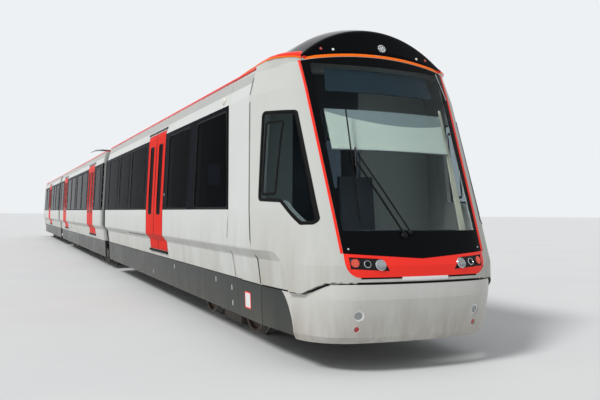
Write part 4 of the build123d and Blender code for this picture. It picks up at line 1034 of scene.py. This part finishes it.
# %% Joint rubbers
BUMPER_LINE_Z, CORNER_HALF, SOLE_Z, SOLE_END = 0.4495, 0.470, WALL_BOTTOM - 0.001, 9.02
FOOT_HALF, FLAP = 0.340, (-0.125, 0.145)
THIN = [(8.908, 0.395), (8.890, SWAGE_LOW), (8.926, SILL_Z)], [(8.839, CANT_Z), (8.815, 1.600)]
CAB_JOINT = ((0.0065, 0.395), (0.0, SWAGE_LOW), (-0.0325, SILL_Z), (-0.1325, 1.60))
rubbers = [seam([(-CORNER_HALF, BUMPER_LINE_Z), (CORNER_HALF, BUMPER_LINE_Z)], 0.04, 0.0045, 0.0012, on_nose)]
for place in on_cab.values():
    corner = [(SOLE_END, SOLE_Z), (9.8045, SOLE_Z), (9.9165, BUMPER_LINE_Z - 0.003)]
    rubbers.append(seam(corner, 0.05, 0.0035, 0.0012, place))
    joint = [(CAB_START + x, z) for x, z in CAB_JOINT]
    rubbers.append(seam(joint, 0.05, 0.0065, 0.0003, place, sink=0.004))
    rubbers += [seam(thin, 0.05, 0.0035, 0.0003, place) for thin in THIN]
    sole = [(END_START + 0.03, WALL_BOTTOM + 0.002), (SOLE_END, WALL_BOTTOM + 0.002)]
    rubbers.append(seam(sole, 0.08, 0.0022, 0.0008, place))
at_both_ends("joint_rubbers", join(*rubbers), rubber)
foot = [(-FOOT_HALF, PANEL_LOW_Z - 0.003), (FOOT_HALF, PANEL_LOW_Z - 0.003)]
at_both_ends("panel_foot_rubber", seam(foot, 0.04, 0.004, 0.001, on_nose), rubber)
flap = [(FLAP[0], PANEL_LOW_Z - 0.008), (FLAP[1], PANEL_LOW_Z - 0.008)]
at_both_ends("coupler_flap_edge", seam(flap, 0.04, 0.009, 0.0025, on_nose), white_plate)
print("joint rubbers", len(rubbers))

# %% [markdown]
# A lamp is read from its rim, its bowl and its light points. The rim is a turned ring. The
# light points are small domes in rings of six, which is how cluster lamps are laid out.
# The middle lamp of each group is a dark lens with a bright ring.

# %% Lamps of the shield
INDICATOR, LOW_BEAM, MAIN_BEAM = (0.365, 0.547, 0.023), (0.305, 0.542, 0.017), (0.2375, 0.537, 0.026)


def facing(y, z, size):
    """Centre and outward direction of a lamp on the nose, from three points round it."""
    a, b, c = on_nose(y - size, z, 0.0), on_nose(y + size, z, 0.0), on_nose(y, z + size, 0.0)
    out = (b - a).cross(c - a).normalized()
    return on_nose(y, z, 0.0), out if out.x > 0 else -out


def rim(centre, out, radius, width, proud):
    """Ring of a lamp: a rounded bead from an outer to an inner radius."""
    section = [(0.0, -0.002), (0.0, 0.4 * proud), (0.3, proud), (0.7, proud),
               (1.0, 0.2 * proud), (1.0, -0.002)]
    return lathe([(radius - share * width, height) for share, height in section], centre, out, 36, ring=True)


def dome(centre, out, radius, height):
    shares = ((0.75, 0.66), (0.35, 0.94), (0.02, 1.0))
    profile = [(radius, -0.001), (radius, 0.0)] + [(a * radius, b * height) for a, b in shares]
    return lathe(profile, centre, out, 12)


def cluster(centre, out, radius, rings):
    """Domes in rings of six, twelve and so on."""
    side = out.cross(Z).normalized()
    pitch = radius / (rings + 0.5)
    spots = [centre]
    for ring in range(1, rings + 1):
        spots += circle(centre, ring * pitch, 6 * ring, side, side.cross(out))
    return join(*[dome(at, out, 0.42 * pitch, 0.35 * pitch) for at in spots])


rims, white_points, red_points, covers, bright = [], [], [], [], []
for side in SIDES:
    for y, z, radius in (INDICATOR, LOW_BEAM, MAIN_BEAM):
        centre, out = facing(side * y, z, radius * 0.7)
        if radius == INDICATOR[2]:
            rims.append(rim(centre, out, radius + 0.002, 0.0035, 0.002))
            edge = radius - 0.001
            cover = [(edge, -0.002), (edge, 0.0), (0.6 * radius, 0.0012), (0.001, 0.0016)]
            covers.append(lathe(cover, centre, out))
            red_points.append(cluster(centre + 0.0012 * out, out, radius - 0.003, 2))
        elif radius == LOW_BEAM[2]:
            bright.append(rim(centre, out, radius + 0.0015, 0.0035, 0.002))
            edge = radius - 0.002
            dark_lens = [(edge, -0.002), (edge, 0.0005), (0.5 * radius, 0.003), (0.001, 0.0042)]
            rims.append(lathe(dark_lens, centre, out))
        else:
            bright.append(rim(centre, out, radius + 0.002, 0.003, 0.002))
            white_points.append(cluster(centre + 0.0005 * out, out, radius - 0.002, 3))
for title, shapes, finish in (
        ("lamp_rims", rims, black_plastic), ("lamp_bright_rims", bright, chrome),
        ("indicator_covers", covers, lamp_red), ("indicator_points", red_points, lamp_led),
        ("main_beam_points", white_points, lamp_glass)):
    at_both_ends(title, join(*shapes), finish)
print("lamp groups at each end", len(white_points))

# %% [markdown]
# The bumper's lamps sit in dished holes: a white dish with the lens low inside. The solid
# lens fills the hole, so the dish is drawn as a ring that slopes in to a smaller lens. On
# the hood are small red and white lamps, and a cluster lamp in its middle.

# %% Lamps of the bumper and the hood
FOG, TAIL = (0.343, 0.293, 0.027), (0.3445, 0.2265, 0.0185)
HOOD_LAMP_Z, HOOD_RED_Y, HOOD_WHITE_Y, HOOD_LAMP_R = 1.680, 0.338, 0.270, 0.008
TOP_LAMP_Y, TOP_LAMP_Z, TOP_LAMP_R = 0.032, 1.713, 0.026
dishes, lenses, tails, hood_white = [], [], [], []
for side in SIDES:
    for (y, z, radius), lens in ((FOG, lenses), (TAIL, tails)):
        centre, out = facing(side * y, z, radius * 0.7)
        wide, low = radius + 0.003, 0.72 * radius
        dish = [(wide, -0.001), (wide, 0.001), (radius, 0.002), (low, 0.0002), (low, -0.001)]
        dishes.append(lathe(dish, centre, out, 36, ring=True))
        glass = [(low, -0.001), (low, 0.0004), (0.4 * radius, 0.0015), (0.001, 0.0019)]
        lens.append(lathe(glass, centre, out, 28))
for side in SIDES:
    for y, points in ((HOOD_RED_Y, tails), (HOOD_WHITE_Y, hood_white)):
        points.append(dome(*on_hood(side * y, HOOD_LAMP_Z), HOOD_LAMP_R, 0.004))
top_lamp = on_hood(TOP_LAMP_Y, TOP_LAMP_Z)
hood_white.append(cluster(*top_lamp, TOP_LAMP_R, 2))
at_both_ends("bumper_lamp_dishes", join(*dishes), white_plate)
at_both_ends("bumper_fog_lenses", join(*lenses), lamp_glass)
at_both_ends("tail_lenses", join(*tails), lamp_red)
at_both_ends("hood_lamp_points", join(*hood_white), lamp_white)
at_both_ends("hood_lamp_rim", rim(*top_lamp, TOP_LAMP_R + 0.004, 0.003, 0.0015), black_plastic)
print("bumper and hood lamps ready")

# %% [markdown]
# The wiper is a pantograph type: two parallel arms from one gearbox below the glass hold
# the blade's carrier upright. Arms are round bars, the blade is rubber on a thin steel
# rail. All of it stands a centimetre or two off the glass.

# %% Wiper
PIVOT_LEFT, PIVOT_RIGHT = (-0.081, 0.675), (-0.045, 0.690)
CARRIER_Y, CARRIER_Z = -0.268, 1.065
BLADE_TOP, BLADE_FOOT = (-0.267, 1.334), (-0.304, 0.743)
OFF_GLASS, PIVOT_RISE = 0.022, 0.012
STAY = ((0.394, 1.600), (0.430, 1.440))
SCREW_Y, SCREW_Z = 0.386, 0.613


def over_nose(start, end, radius, rise_start, rise_end, count=10, sides=10):
    """Rod over the nose from one (y, z) point to another, each with its height off the glass."""
    start, end = Vector((*start, rise_start)), Vector((*end, rise_end))
    return tube([on_nose(*start.lerp(end, k / count)) for k in range(count + 1)], radius, sides)


arms = [over_nose(PIVOT_LEFT, (CARRIER_Y - 0.006, CARRIER_Z - 0.02), 0.0055, PIVOT_RISE, OFF_GLASS),
        over_nose(PIVOT_RIGHT, (CARRIER_Y + 0.010, CARRIER_Z + 0.02), 0.004, PIVOT_RISE, OFF_GLASS),
        over_nose((CARRIER_Y - 0.008, CARRIER_Z - 0.05), (CARRIER_Y + 0.006, CARRIER_Z + 0.05), 0.005,
                  OFF_GLASS - 0.004, OFF_GLASS - 0.004, 3)]
for pivot, r in ((PIVOT_LEFT, 0.016), (PIVOT_RIGHT, 0.013)):
    knob = [(r, -0.001), (r, 0.008), (0.8 * r, 0.012), (0.5 * r, 0.016), (0.001, 0.017)]
    arms.append(lathe(knob, *facing(*pivot, 0.02), 24))
arms.append(over_nose(BLADE_TOP, BLADE_FOOT, 0.0022, 0.010, 0.010, 16, 8))
at_both_ends("wiper_arms", join(*arms), black_plastic)
at_both_ends("wiper_blade", over_nose(BLADE_TOP, BLADE_FOOT, 0.0035, 0.004, 0.004, 16, 8), rubber)
at_both_ends("antenna_stay", over_nose(*STAY, 0.002, 0.004, 0.004, 6), stainless)
heads = [dome(*facing(side * SCREW_Y, SCREW_Z, 0.012), 0.005, 0.002) for side in SIDES]
at_both_ends("screen_screws", join(*heads), stainless)
print("wiper ready")

# %% [markdown]
# Behind the glass hang the destination display, a pale roller blind pulled down a third of
# the way, and cream trim on the left pillar. They are thin curved sheets that follow the
# glass at a distance behind it, so that they clear it everywhere. The blind is woven in
# threads of about 1 mm, drawn at 4 mm, and its upper part is in the roof's shade.

# %% Behind the windscreen
BEHIND, SHEET = -0.034, -0.004
DISPLAY = ((-0.330, 1.585), (0.330, 1.585), (0.345, 1.452), (-0.345, 1.452))
BLIND = ((-0.372, 1.350), (0.372, 1.350), (0.366, 1.128), (-0.366, 1.128))
CREAM = ((0.388, 1.394), (0.408, 1.394), (0.372, 0.712), (0.322, 0.712))
THREAD, SHADE_MIDDLE_Y, SHADE_Z = 0.004, 0.10, 1.258


def closed_sheet(front, back, rows, columns):
    """Thin closed shape from two grids of points."""
    n, at = columns + 1, len(front)
    faces = grid_faces(rows, columns)
    faces += [tuple(reversed([k + at for k in face])) for face in faces]
    ring = list(range(n)) + [j * n + columns for j in range(1, rows + 1)]
    ring += [rows * n + i for i in range(columns - 1, -1, -1)] + [j * n for j in range(rows - 1, 0, -1)]
    faces += [(a, b, b + at, a + at) for a, b in zip(ring, ring[1:] + ring[:1])]
    return front + back, faces


def sheet_behind(corners, back, rows=8, columns=16):
    """Sheet behind the glass between four (y, z) corners, with a thickness."""
    a, b, c, d = map(Vector, corners)
    grid = [a.lerp(b, i / columns).lerp(d.lerp(c, i / columns), j / rows)
            for j in range(rows + 1) for i in range(columns + 1)]
    front, rear = ([on_nose(*at, depth) for at in grid] for depth in (back, back + SHEET))
    return closed_sheet(front, rear, rows, columns)


blind_cloth, tree, shader = new_finish("woven_roller_blind", Roughness=0.8, Sheen_Weight=0.2)
spot, x, y, z = place_of(tree)
weave = add(tree, WAVE, {"Vector": spot, "Scale": 1.0 / THREAD / math.tau}, bands_direction="Z")
bend = add(tree, MATH, {0: y, 1: SHADE_MIDDLE_Y}, operation="SUBTRACT")
bend = add(tree, MATH, {0: bend, 1: bend}, operation="MULTIPLY")
shade_line = add(tree, MATH, {0: bend, 1: -0.30, 2: z}, operation="MULTIPLY_ADD")
wire(shader, {"Base Color": layered(tree, "#d6ddd0", (where(tree, (shade_line, ">", SHADE_Z)), "#879394")),
              "Normal": add(tree, BUMP, {"Height": weave, "Distance": 0.0003, "Strength": 0.5})})
at_both_ends("destination_display", sheet_behind(DISPLAY, BEHIND), display_glass)
at_both_ends("roller_blind", sheet_behind(BLIND, BEHIND), blind_cloth)
at_both_ends("pillar_trim", sheet_behind(CREAM, BEHIND - 0.006, 10, 3), cream_trim)
at_both_ends("blind_bar", over_nose(BLIND[3], BLIND[2], 0.004, BEHIND, BEHIND, 14), stainless)
print("cab front dressed")

# %% [markdown]
# The cab's side window holds a small sliding window in a black frame. The frame follows
# the six corners of the opening, and the slider's own frame stands inside its rear half. A
# camera pod sits high on the side behind the cab. The skirts carry few marks: one blank
# enamelled plate with a red edge and small white jacking marks. A thin black line runs
# along the swage from the section's end to the doorway.

# %% Cab side window, pods and marks
CAB_WINDOW = [(0.507, 0.738), (0.263, 1.316), (0.027, 1.333), (0.063, 0.857), (0.262, 0.849), (0.431, 0.735)]
SLIDER = [(0.205, 0.885), (0.205, 1.270), (0.065, 1.275), (0.085, 0.885)]
POD, POD_R, POD_LEAN = (8.72, 1.490), 0.026, 0.27
PLATE_X, PLATE_Z, PLATE_HALF = 9.105, 0.277, 0.045
PLATE_EDGE = [(PLATE_X + a * PLATE_HALF, PLATE_Z + b * PLATE_HALF)
              for a, b in ((-1, -1), (1, -1), (1, 1), (-1, 1))]
JACK_MARKS = ((7.321, 0.338), (6.482, 0.228), (8.481, 0.343), (8.814, 0.322), (8.823, 0.228))
MARK_HALF, MARK_TALL, MARK_RISE = 0.005, 0.016, 0.0012
SWAGE_LINE = [(5.455, 0.562), (door_middle["a"] - DOOR_HALF - 0.02, 0.562)]
pod = [(POD_R, -0.003), (POD_R, 0.006), (0.8 * POD_R, 0.013), (0.4 * POD_R, 0.017), (0.001, 0.018)]
frames, pods, plates, edges, marks, lines = [], [], [], [], [], []
for side in SIDES:
    place = on_cab[side]
    for corners, radius, half, rise in ((CAB_WINDOW, 0.018, 0.009, 0.0030), (SLIDER, 0.012, 0.007, 0.002)):
        box = [(CAB_START + x, z) for x, z in corners]
        frames.append(strip(rounded(box, radius, 0.04), half, rise, place, loop=True))
    pods.append(lathe(pod, on_side(side)(*POD, 0.0), Vector((0, side, POD_LEAN)), 24))
    across = [(PLATE_X - PLATE_HALF, PLATE_Z), (PLATE_X + PLATE_HALF, PLATE_Z)]
    plates.append(seam(across, 0.02, PLATE_HALF, MARK_RISE, place))
    edges.append(strip(rounded(PLATE_EDGE, 0.006, 0.03), 0.0035, 0.002, place, loop=True))
    for x, z in JACK_MARKS:
        marks.append(strip([(x, z - MARK_TALL), (x, z), (x, z + MARK_TALL)], MARK_HALF, MARK_RISE, place))
    lines.append(seam(SWAGE_LINE, 0.15, 0.003, MARK_RISE, on_side(side)))
for title, shapes, finish in (
        ("cab_window_frames", frames, rubber), ("side_camera_pods", pods, beige_plastic),
        ("blank_plates", plates, white_plate), ("plate_edges", edges, red_line),
        ("jacking_marks", marks, white_plate), ("swage_lines", lines, rubber)):
    at_both_ends(title, join(*shapes), finish)
print("marks on each side", len(JACK_MARKS))

# %% [markdown]
# The bellows are rubber-coated fabric: a weave of threads that is matt and a little fuzzy,
# so it gets a weak sheen. Real threads are about 1 mm apart. They are drawn at 6 mm, because
# finer ones would not show.

# %% Bellows fabric
WEAVE = 0.006
fabric, tree, shader = new_finish("coated_bellows_fabric",
                                  Roughness=0.75, Sheen_Weight=0.3, Sheen_Roughness=0.5)
spot = place_of(tree)[0]
threads = add(tree, WAVE, {"Vector": spot, "Scale": 1.0 / WEAVE / math.tau, "Distortion": 0.4},
              bands_direction="Z")
wear = add(tree, NOISE, {"Vector": spot, "Scale": 6.0, "Detail": 6.0})
wire(shader, {"Base Color": layered(tree, "#141416", (wear, "#2b2a29")),
              "Normal": add(tree, BUMP, {"Height": threads, "Distance": 0.0006, "Strength": 0.6})})
dress(fabric, "bellows_a", "bellows_c")
print("fabric woven")

# %% [markdown]
# The fabric is sewn into nine pleats round the gangway. Each pleat is a smooth wave with a
# thin aluminium hoop in its crest.

# %% Bellows
PLEATS, CREST_INSET, VALLEY_INSET, INNER_INSET = 9, 0.038, 0.062, 0.078
CREST_BOTTOM, INNER_BOTTOM = 0.380, 0.417
PLEAT_STEPS, INNER_STEPS = 12, 12


def body_ring(x, inset, bottom, arc=10, foot=6):
    """Points round the body section, inset from its skin, at one place along it."""
    right = [(between(SKIN, max(bottom, WALL_BOTTOM)) - inset - 0.02, bottom),
             (between(SKIN, WALL_BOTTOM) - inset, bottom + 0.02)]
    right += [(between(SKIN, z) - inset, z) for z in (SWAGE_LOW, SWAGE_HIGH, SILL_Z, 1.0, 1.2, CANT_Z)]
    edge, top = between(SKIN, SHOULDER_Z) - inset, SHOULDER_Z - 0.6 * inset
    half, crown = edge - 0.012, ROOF_CROWN - inset
    right += [(edge + 0.004, top - 0.03), (half, top)]
    shares = [1 - 2 * k / arc for k in range(1, arc)]
    over = [(half * share, top + (crown - top) * (1 - share ** 2)) for share in shares]
    left = [(-y, z) for y, z in reversed(right)]
    low = right[0][0]
    under = [(-low + 2 * low * k / foot, bottom) for k in range(1, foot)]
    return [Vector((x, y, z)) for y, z in right + over + left + under]


def wave(x0, x1):
    """Rings of the pleated outer skin and the flat inner skin, as one closed loop."""
    outer = []
    for k in range(PLEATS * PLEAT_STEPS + 1):
        fold = abs(math.cos(math.pi * k / PLEAT_STEPS)) ** 1.3
        inset = CREST_INSET + (VALLEY_INSET - CREST_INSET) * fold
        bottom = CREST_BOTTOM + (inset - CREST_INSET) * 0.8
        outer.append(body_ring(x0 + (x1 - x0) * k / (PLEATS * PLEAT_STEPS), inset, bottom))
    inner = [body_ring(x1 + (x0 - x1) * k / INNER_STEPS, INNER_INSET, INNER_BOTTOM)
             for k in range(INNER_STEPS + 1)]
    return loft(outer + inner, loop=True)


for name, bodies in (("a", ("centre_section", "section_a")), ("c", ("section_c", "centre_section"))):
    low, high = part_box(f"bellows_{name}")
    x0, x1 = low.x + 0.0005, high.x - 0.0005
    skin = piece(f"pleated_bellows_{name}", wave(x0, x1), fabric, None, sharp=60.0)
    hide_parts(f"bellows_{name}")
    crests = [x0 + (x1 - x0) * (k + 0.5) / PLEATS for k in range(PLEATS)]
    rings = [body_ring(x, CREST_INSET + 0.0005, CREST_BOTTOM + 0.003) for x in crests]
    hoops = [tube(ring, 0.0032, 8, loop=True) for ring in rings]
    for made in (skin, piece(f"bellows_hoops_{name}", join(*hoops), hoop_metal, None)):
        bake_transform(made)
print("bellows with", PLEATS, "pleats each")

# %% [markdown]
# The bellows are clamped to a frame at each section's end. The small domes down both sides
# of it are the heads of its bolts: nine to a side, each turned with six flats.

# %% End frame bolts
BOLTS, BOLT_LOW_Z, BOLT_PITCH, BOLT_R, BOLT_INSET = 9, 0.62, 0.105, 0.007, 0.014
FRAME_INSET = 0.015
BOLT = [(BOLT_R, -0.001), (BOLT_R, 0.004), (0.7 * BOLT_R, 0.0055), (0.001, 0.006)]
END_FRAMES = {"a": [END_START + FRAME_INSET], "b": [B_START + FRAME_INSET, B_END - FRAME_INSET],
              "c": [-END_START - FRAME_INSET]}
for name, body in SECTIONS:
    bolts = []
    for x in END_FRAMES[name]:
        for side in SIDES:
            for z in (BOLT_LOW_Z + BOLT_PITCH * k for k in range(BOLTS)):
                at = Vector((x, side * (between(SKIN, z) - BOLT_INSET), z))
                bolts.append(lathe(BOLT, at, side * Y, 6))
    piece(f"end_frame_bolts_{name}", join(*bolts), stainless, body)
    print("end frame bolts on", body, len(bolts))

# %% [markdown]
# The seats are moulded shells with thin upholstered pads. A pad is a crowned cushion: full
# in the middle and pulled down to its piped edge. There are 120 of them behind dark glass,
# so a formula gives the crown and no cloth is simulated. The seats' solids tell where the
# shells are. The moquette's tufts are drawn at their real 3 mm.

# %% Seat pads
PAD_RISE, PAD_MARGIN, PAD_GAP, PAD_GRID = 0.010, 0.012, 0.008, 10
SEAT_LOW, SEAT_HIGH, SEAT_WIDTH = 0.645, 0.705, 0.3
PILE = 0.003


def crowned_pad(x0, x1, y0, y1, z0, z1):
    """Pad on a sloping seat: z0 at x0 and z1 at x1 are the heights of the shell."""
    top, bottom = [], []
    for k in range((PAD_GRID + 1) ** 2):
        u, v = 2 * (k % (PAD_GRID + 1)) / PAD_GRID - 1, 2 * (k // (PAD_GRID + 1)) / PAD_GRID - 1
        crown = (1 - abs(u) ** 4) * (1 - abs(v) ** 4)
        pull = 1 - 0.02 * (u * u * v * v)
        x, y = (x0 + x1) / 2 + u * pull * (x1 - x0) / 2, (y0 + y1) / 2 + v * pull * (y1 - y0) / 2
        z = z0 + (z1 - z0) * (x - x0) / (x1 - x0)
        top.append(Vector((x, y, z + 0.002 + PAD_RISE * crown ** 0.6)))
        bottom.append(Vector((x, y, z + 0.0006)))
    return closed_sheet(top, bottom, PAD_GRID, PAD_GRID)


moquette, tree, shader = new_finish("woven_seat_moquette",
                                    Roughness=0.85, Sheen_Weight=0.4, Sheen_Roughness=0.4)
tufts = add(tree, "ShaderNodeTexVoronoi", {"Vector": place_of(tree)[0], "Scale": 1.0 / PILE})
wire(shader, {"Base Color": layered(tree, "#2c3b57", (tufts, "#51607c")),
              "Normal": add(tree, BUMP, {"Height": tufts, "Distance": 0.0005, "Strength": 0.6})})
for name, body in SECTIONS:
    pads = []
    for group in islands(f"interior_{name}"):
        low, high = reach_of(group)
        upper = sorted((p.x, p.z) for p in group if p.z > low.z + 0.03)
        if low.z < SEAT_LOW or high.z > SEAT_HIGH or high.y - low.y < SEAT_WIDTH or not upper:
            continue
        (xa, za), (xb, zb) = upper[0], upper[-1]
        slope, middle = (zb - za) / (xb - xa), (low.y + high.y) / 2
        x0, x1 = xa + PAD_MARGIN, xb - PAD_MARGIN
        for y0, y1 in ((low.y + PAD_MARGIN, middle - PAD_GAP), (middle + PAD_GAP, high.y - PAD_MARGIN)):
            pads.append(crowned_pad(x0, x1, y0, y1, za + slope * (x0 - xa), za + slope * (x1 - xa)))
    piece(f"seat_pads_{name}", join(*pads), moquette, body)
    print("seat pads on", body, len(pads))

# %% [markdown]
# The roof is hidden from below, but it is the busiest place on the vehicle. Each
# roof case has a fan well in its lid: a guard of wire rings and spokes over a fan, and
# lifting eyes stand at the case's corners.

# %% Roof fans
GUARD_RADII, SPOKES, WIRE_R = (0.146, 0.112, 0.078, 0.044), 6, 0.0022
HUB = [(0.034, -0.034), (0.034, -0.014), (0.026, -0.010), (0.001, -0.009)]
BLADES, BLADE_THICK = 9, Vector((0, 0, -0.002))
for name, body in SECTIONS:
    guards, fans, eyes = [], [], []
    for group in islands(f"roof_gear_{name}"):
        low, high = reach_of(group)
        centre = Vector(((low.x + high.x) / 2, 0.0, high.z))
        rings = [circle(centre - 0.004 * Z, radius, 40) for radius in GUARD_RADII]
        guards += [tube(ring, WIRE_R, 6, loop=True) for ring in rings]
        hub = centre - 0.0065 * Z
        for end in circle(hub, 0.147, SPOKES, whole=math.pi):
            guards.append(tube([end, hub, 2 * hub - end], WIRE_R, 6))
        fans.append(lathe(HUB, centre, Z, 28))
        for k in range(BLADES):
            blade = []
            for share in (0.0, 0.5, 1.0):
                reach, lead = 0.032 + share * 0.104, 2 * math.pi * k / BLADES + 0.10 + 0.25 * share
                upper, lower = (centre + Vector((reach * math.cos(t), reach * math.sin(t), z))
                                for t, z in ((lead, -0.014), (lead + 0.36, -0.028)))
                blade.append([upper, lower, lower + BLADE_THICK, upper + BLADE_THICK])
            fans.append(loft(blade))
        for x in (low.x + 0.06, high.x - 0.06):
            for y in (low.y + 0.07, high.y - 0.07):
                arch = circle(Vector((x, y, high.z - 0.005)), 0.016, 10, X, Z, math.pi, last=1)
                eyes.append(tube(arch, 0.0035, 8))
    piece(f"fan_guards_{name}", join(*guards), galvanised, body)
    piece(f"fans_{name}", join(*fans), black_plastic, body)
    piece(f"lifting_eyes_{name}", join(*eyes), stainless, body)
print("roof cases dressed")

# %% [markdown]
# Cable ducts run along both sides of the roof, sunk a little into its skin. Clamps hold
# them every 0.6 m. Rays dropped on the roof give their height. Under the floor, steel brake
# pipes run in pairs along the sole bars.

# %% Roof ducts and brake pipes
DUCT_Y, DUCT_R, CLAMP_PITCH, CLAMP_HALVES = 0.405, 0.014, 0.6, (0.008, 0.022, 0.014)
PIPE_Y, PIPE_Z, PIPE_R = (0.505, 0.522), 0.372, 0.006


def rounded_box(centre, halves, radius):
    """Box with rounded edges, from its centre and half sizes."""
    work = bmesh.new()
    size = Matrix.Diagonal((*(2 * h for h in halves), 1.0))
    bmesh.ops.create_cube(work, matrix=Matrix.Translation(centre) @ size)
    bmesh.ops.bevel(work, geom=work.edges[:], offset=radius, segments=2, profile=0.5, affect="EDGES")
    work.verts.index_update()
    shape = ([v.co.copy() for v in work.verts], [[v.index for v in face.verts] for face in work.faces])
    work.free()
    return shape


for name, body in SECTIONS:
    x0, x1 = span(name, 0.1, 9.15)
    pipes = []
    for y in (side * y for side in SIDES for y in PIPE_Y):
        run = stations([(x0, y), (x1, y)], 0.6)
        pipes.append(tube([(x, y, PIPE_Z + 0.0015 * math.sin(3.0 * x)) for x, _ in run], PIPE_R, 8))
    piece(f"brake_pipes_{name}", join(*pipes), galvanised, body)
    if name == "c":
        continue
    x0, x1 = span(name, 0.12, 8.85)
    ducts, clamps = [], []
    for y in (-DUCT_Y, DUCT_Y):
        ducts.append(tube([on_roof(*at, DUCT_R * 0.6) for at in stations([(x0, y), (x1, y)], 0.4)], DUCT_R))
        for k in range(math.ceil((x1 - x0 - 0.15) / CLAMP_PITCH)):
            at = on_roof(x0 + 0.1 + k * CLAMP_PITCH, y, 0.0)
            clamps.append(rounded_box(at + 0.010 * Z, CLAMP_HALVES, 0.003))
    for title, shapes, finish in (("roof_ducts", ducts, galvanised), ("duct_clamps", clamps, stainless)):
        if name == "a":
            at_both_ends(title, join(*shapes), finish)
        else:
            piece(f"{title}_b", join(*shapes), finish, body)
print("ducts and pipes laid")

# %% [markdown]
# The pantograph's feet stand on ribbed porcelain, because the frame is live. Each insulator
# is turned: a stack of sheds round the foot. A thin air line runs along the lower arm.

# %% Pantograph insulators
FOOT_X, FOOT_Y, SHEDS = (0.290, 0.760), 0.200, 3
FOOT_LOW, SHED_PITCH = ROOF_CROWN + 0.030, 0.012
AIR_LINE = (Vector((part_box("panto_lower")[0].x + 0.08, 0.022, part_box("panto_lower")[1].z - 0.030)),
            Vector((0.2, 0.024, 1.784)), Vector((0.55, 0.024, 1.776)))
SHED = ((0.026, 0.1), (0.036, 0.35), (0.037, 0.5), (0.027, 0.9))
profile = [(0.0222, 0.0)]
for k in range(SHEDS):
    profile += [(r, (k + share) * SHED_PITCH) for r, share in SHED]
profile.append((0.0222, SHEDS * SHED_PITCH))
sheds = [lathe(profile, (x, side * FOOT_Y, FOOT_LOW), Z, 28, ring=True) for x in FOOT_X for side in SIDES]
piece("pantograph_insulators", join(*sheds), porcelain, "centre_section")
piece("pantograph_air_line", tube(AIR_LINE, 0.003, 8), rubber, "panto_lower")
print("insulators", len(sheds))

# %% [markdown]
# Between the wheels, springs and brake calipers show. A coil spring is a helix of round
# bar. A caliper is two rounded pads either side of its disc, and a bridge that joins them.

# %% Bogie springs and calipers
BEAM_Y, AXLE_Z, HALF_BASE, DISC_Y = 0.262, 0.1935, 0.475, 0.130
SPRING_R, SPRING_BAR, SPRING_LOW, SPRING_TALL = 0.026, 0.0055, 0.150, 0.060
COILS, COIL_SIDES, SPRING_BACK, CALIPER_BACK, PAD_AWAY = 4, 14, 0.095, 0.135, 0.023
for name in ("a", "b1", "b2", "c"):
    middle = sum(corner.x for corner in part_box(f"bogie_{name}")) / 2
    coils, calipers = [], []
    for y in (-BEAM_Y, BEAM_Y):
        for end in SIDES:
            foot = Vector((middle + end * (HALF_BASE - SPRING_BACK), y, SPRING_LOW))
            steps = COILS * COIL_SIDES
            turns = circle(foot, SPRING_R, COIL_SIDES, last=steps + 1 - COIL_SIDES)
            helix = [p + SPRING_TALL * k / steps * Z for k, p in enumerate(turns)]
            coils.append(tube(helix, SPRING_BAR, 8))
    for end in SIDES:
        x = middle + end * (HALF_BASE - CALIPER_BACK)
        for y in (DISC_Y - PAD_AWAY, DISC_Y + PAD_AWAY):
            calipers.append(rounded_box((x, y, AXLE_Z), (0.028, 0.007, 0.035), 0.004))
        calipers.append(rounded_box((x - end * 0.052, DISC_Y, AXLE_Z), (0.018, 0.034, 0.022), 0.006))
    piece(f"axle_springs_{name}", join(*coils), black_plastic, f"bogie_{name}")
    piece(f"brake_calipers_{name}", join(*calipers), galvanised, f"bogie_{name}")
print("bogies dressed")

low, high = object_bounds()
{"cad": [list(cad_low), list(cad_high)], "visual": [list(low), list(high)]}
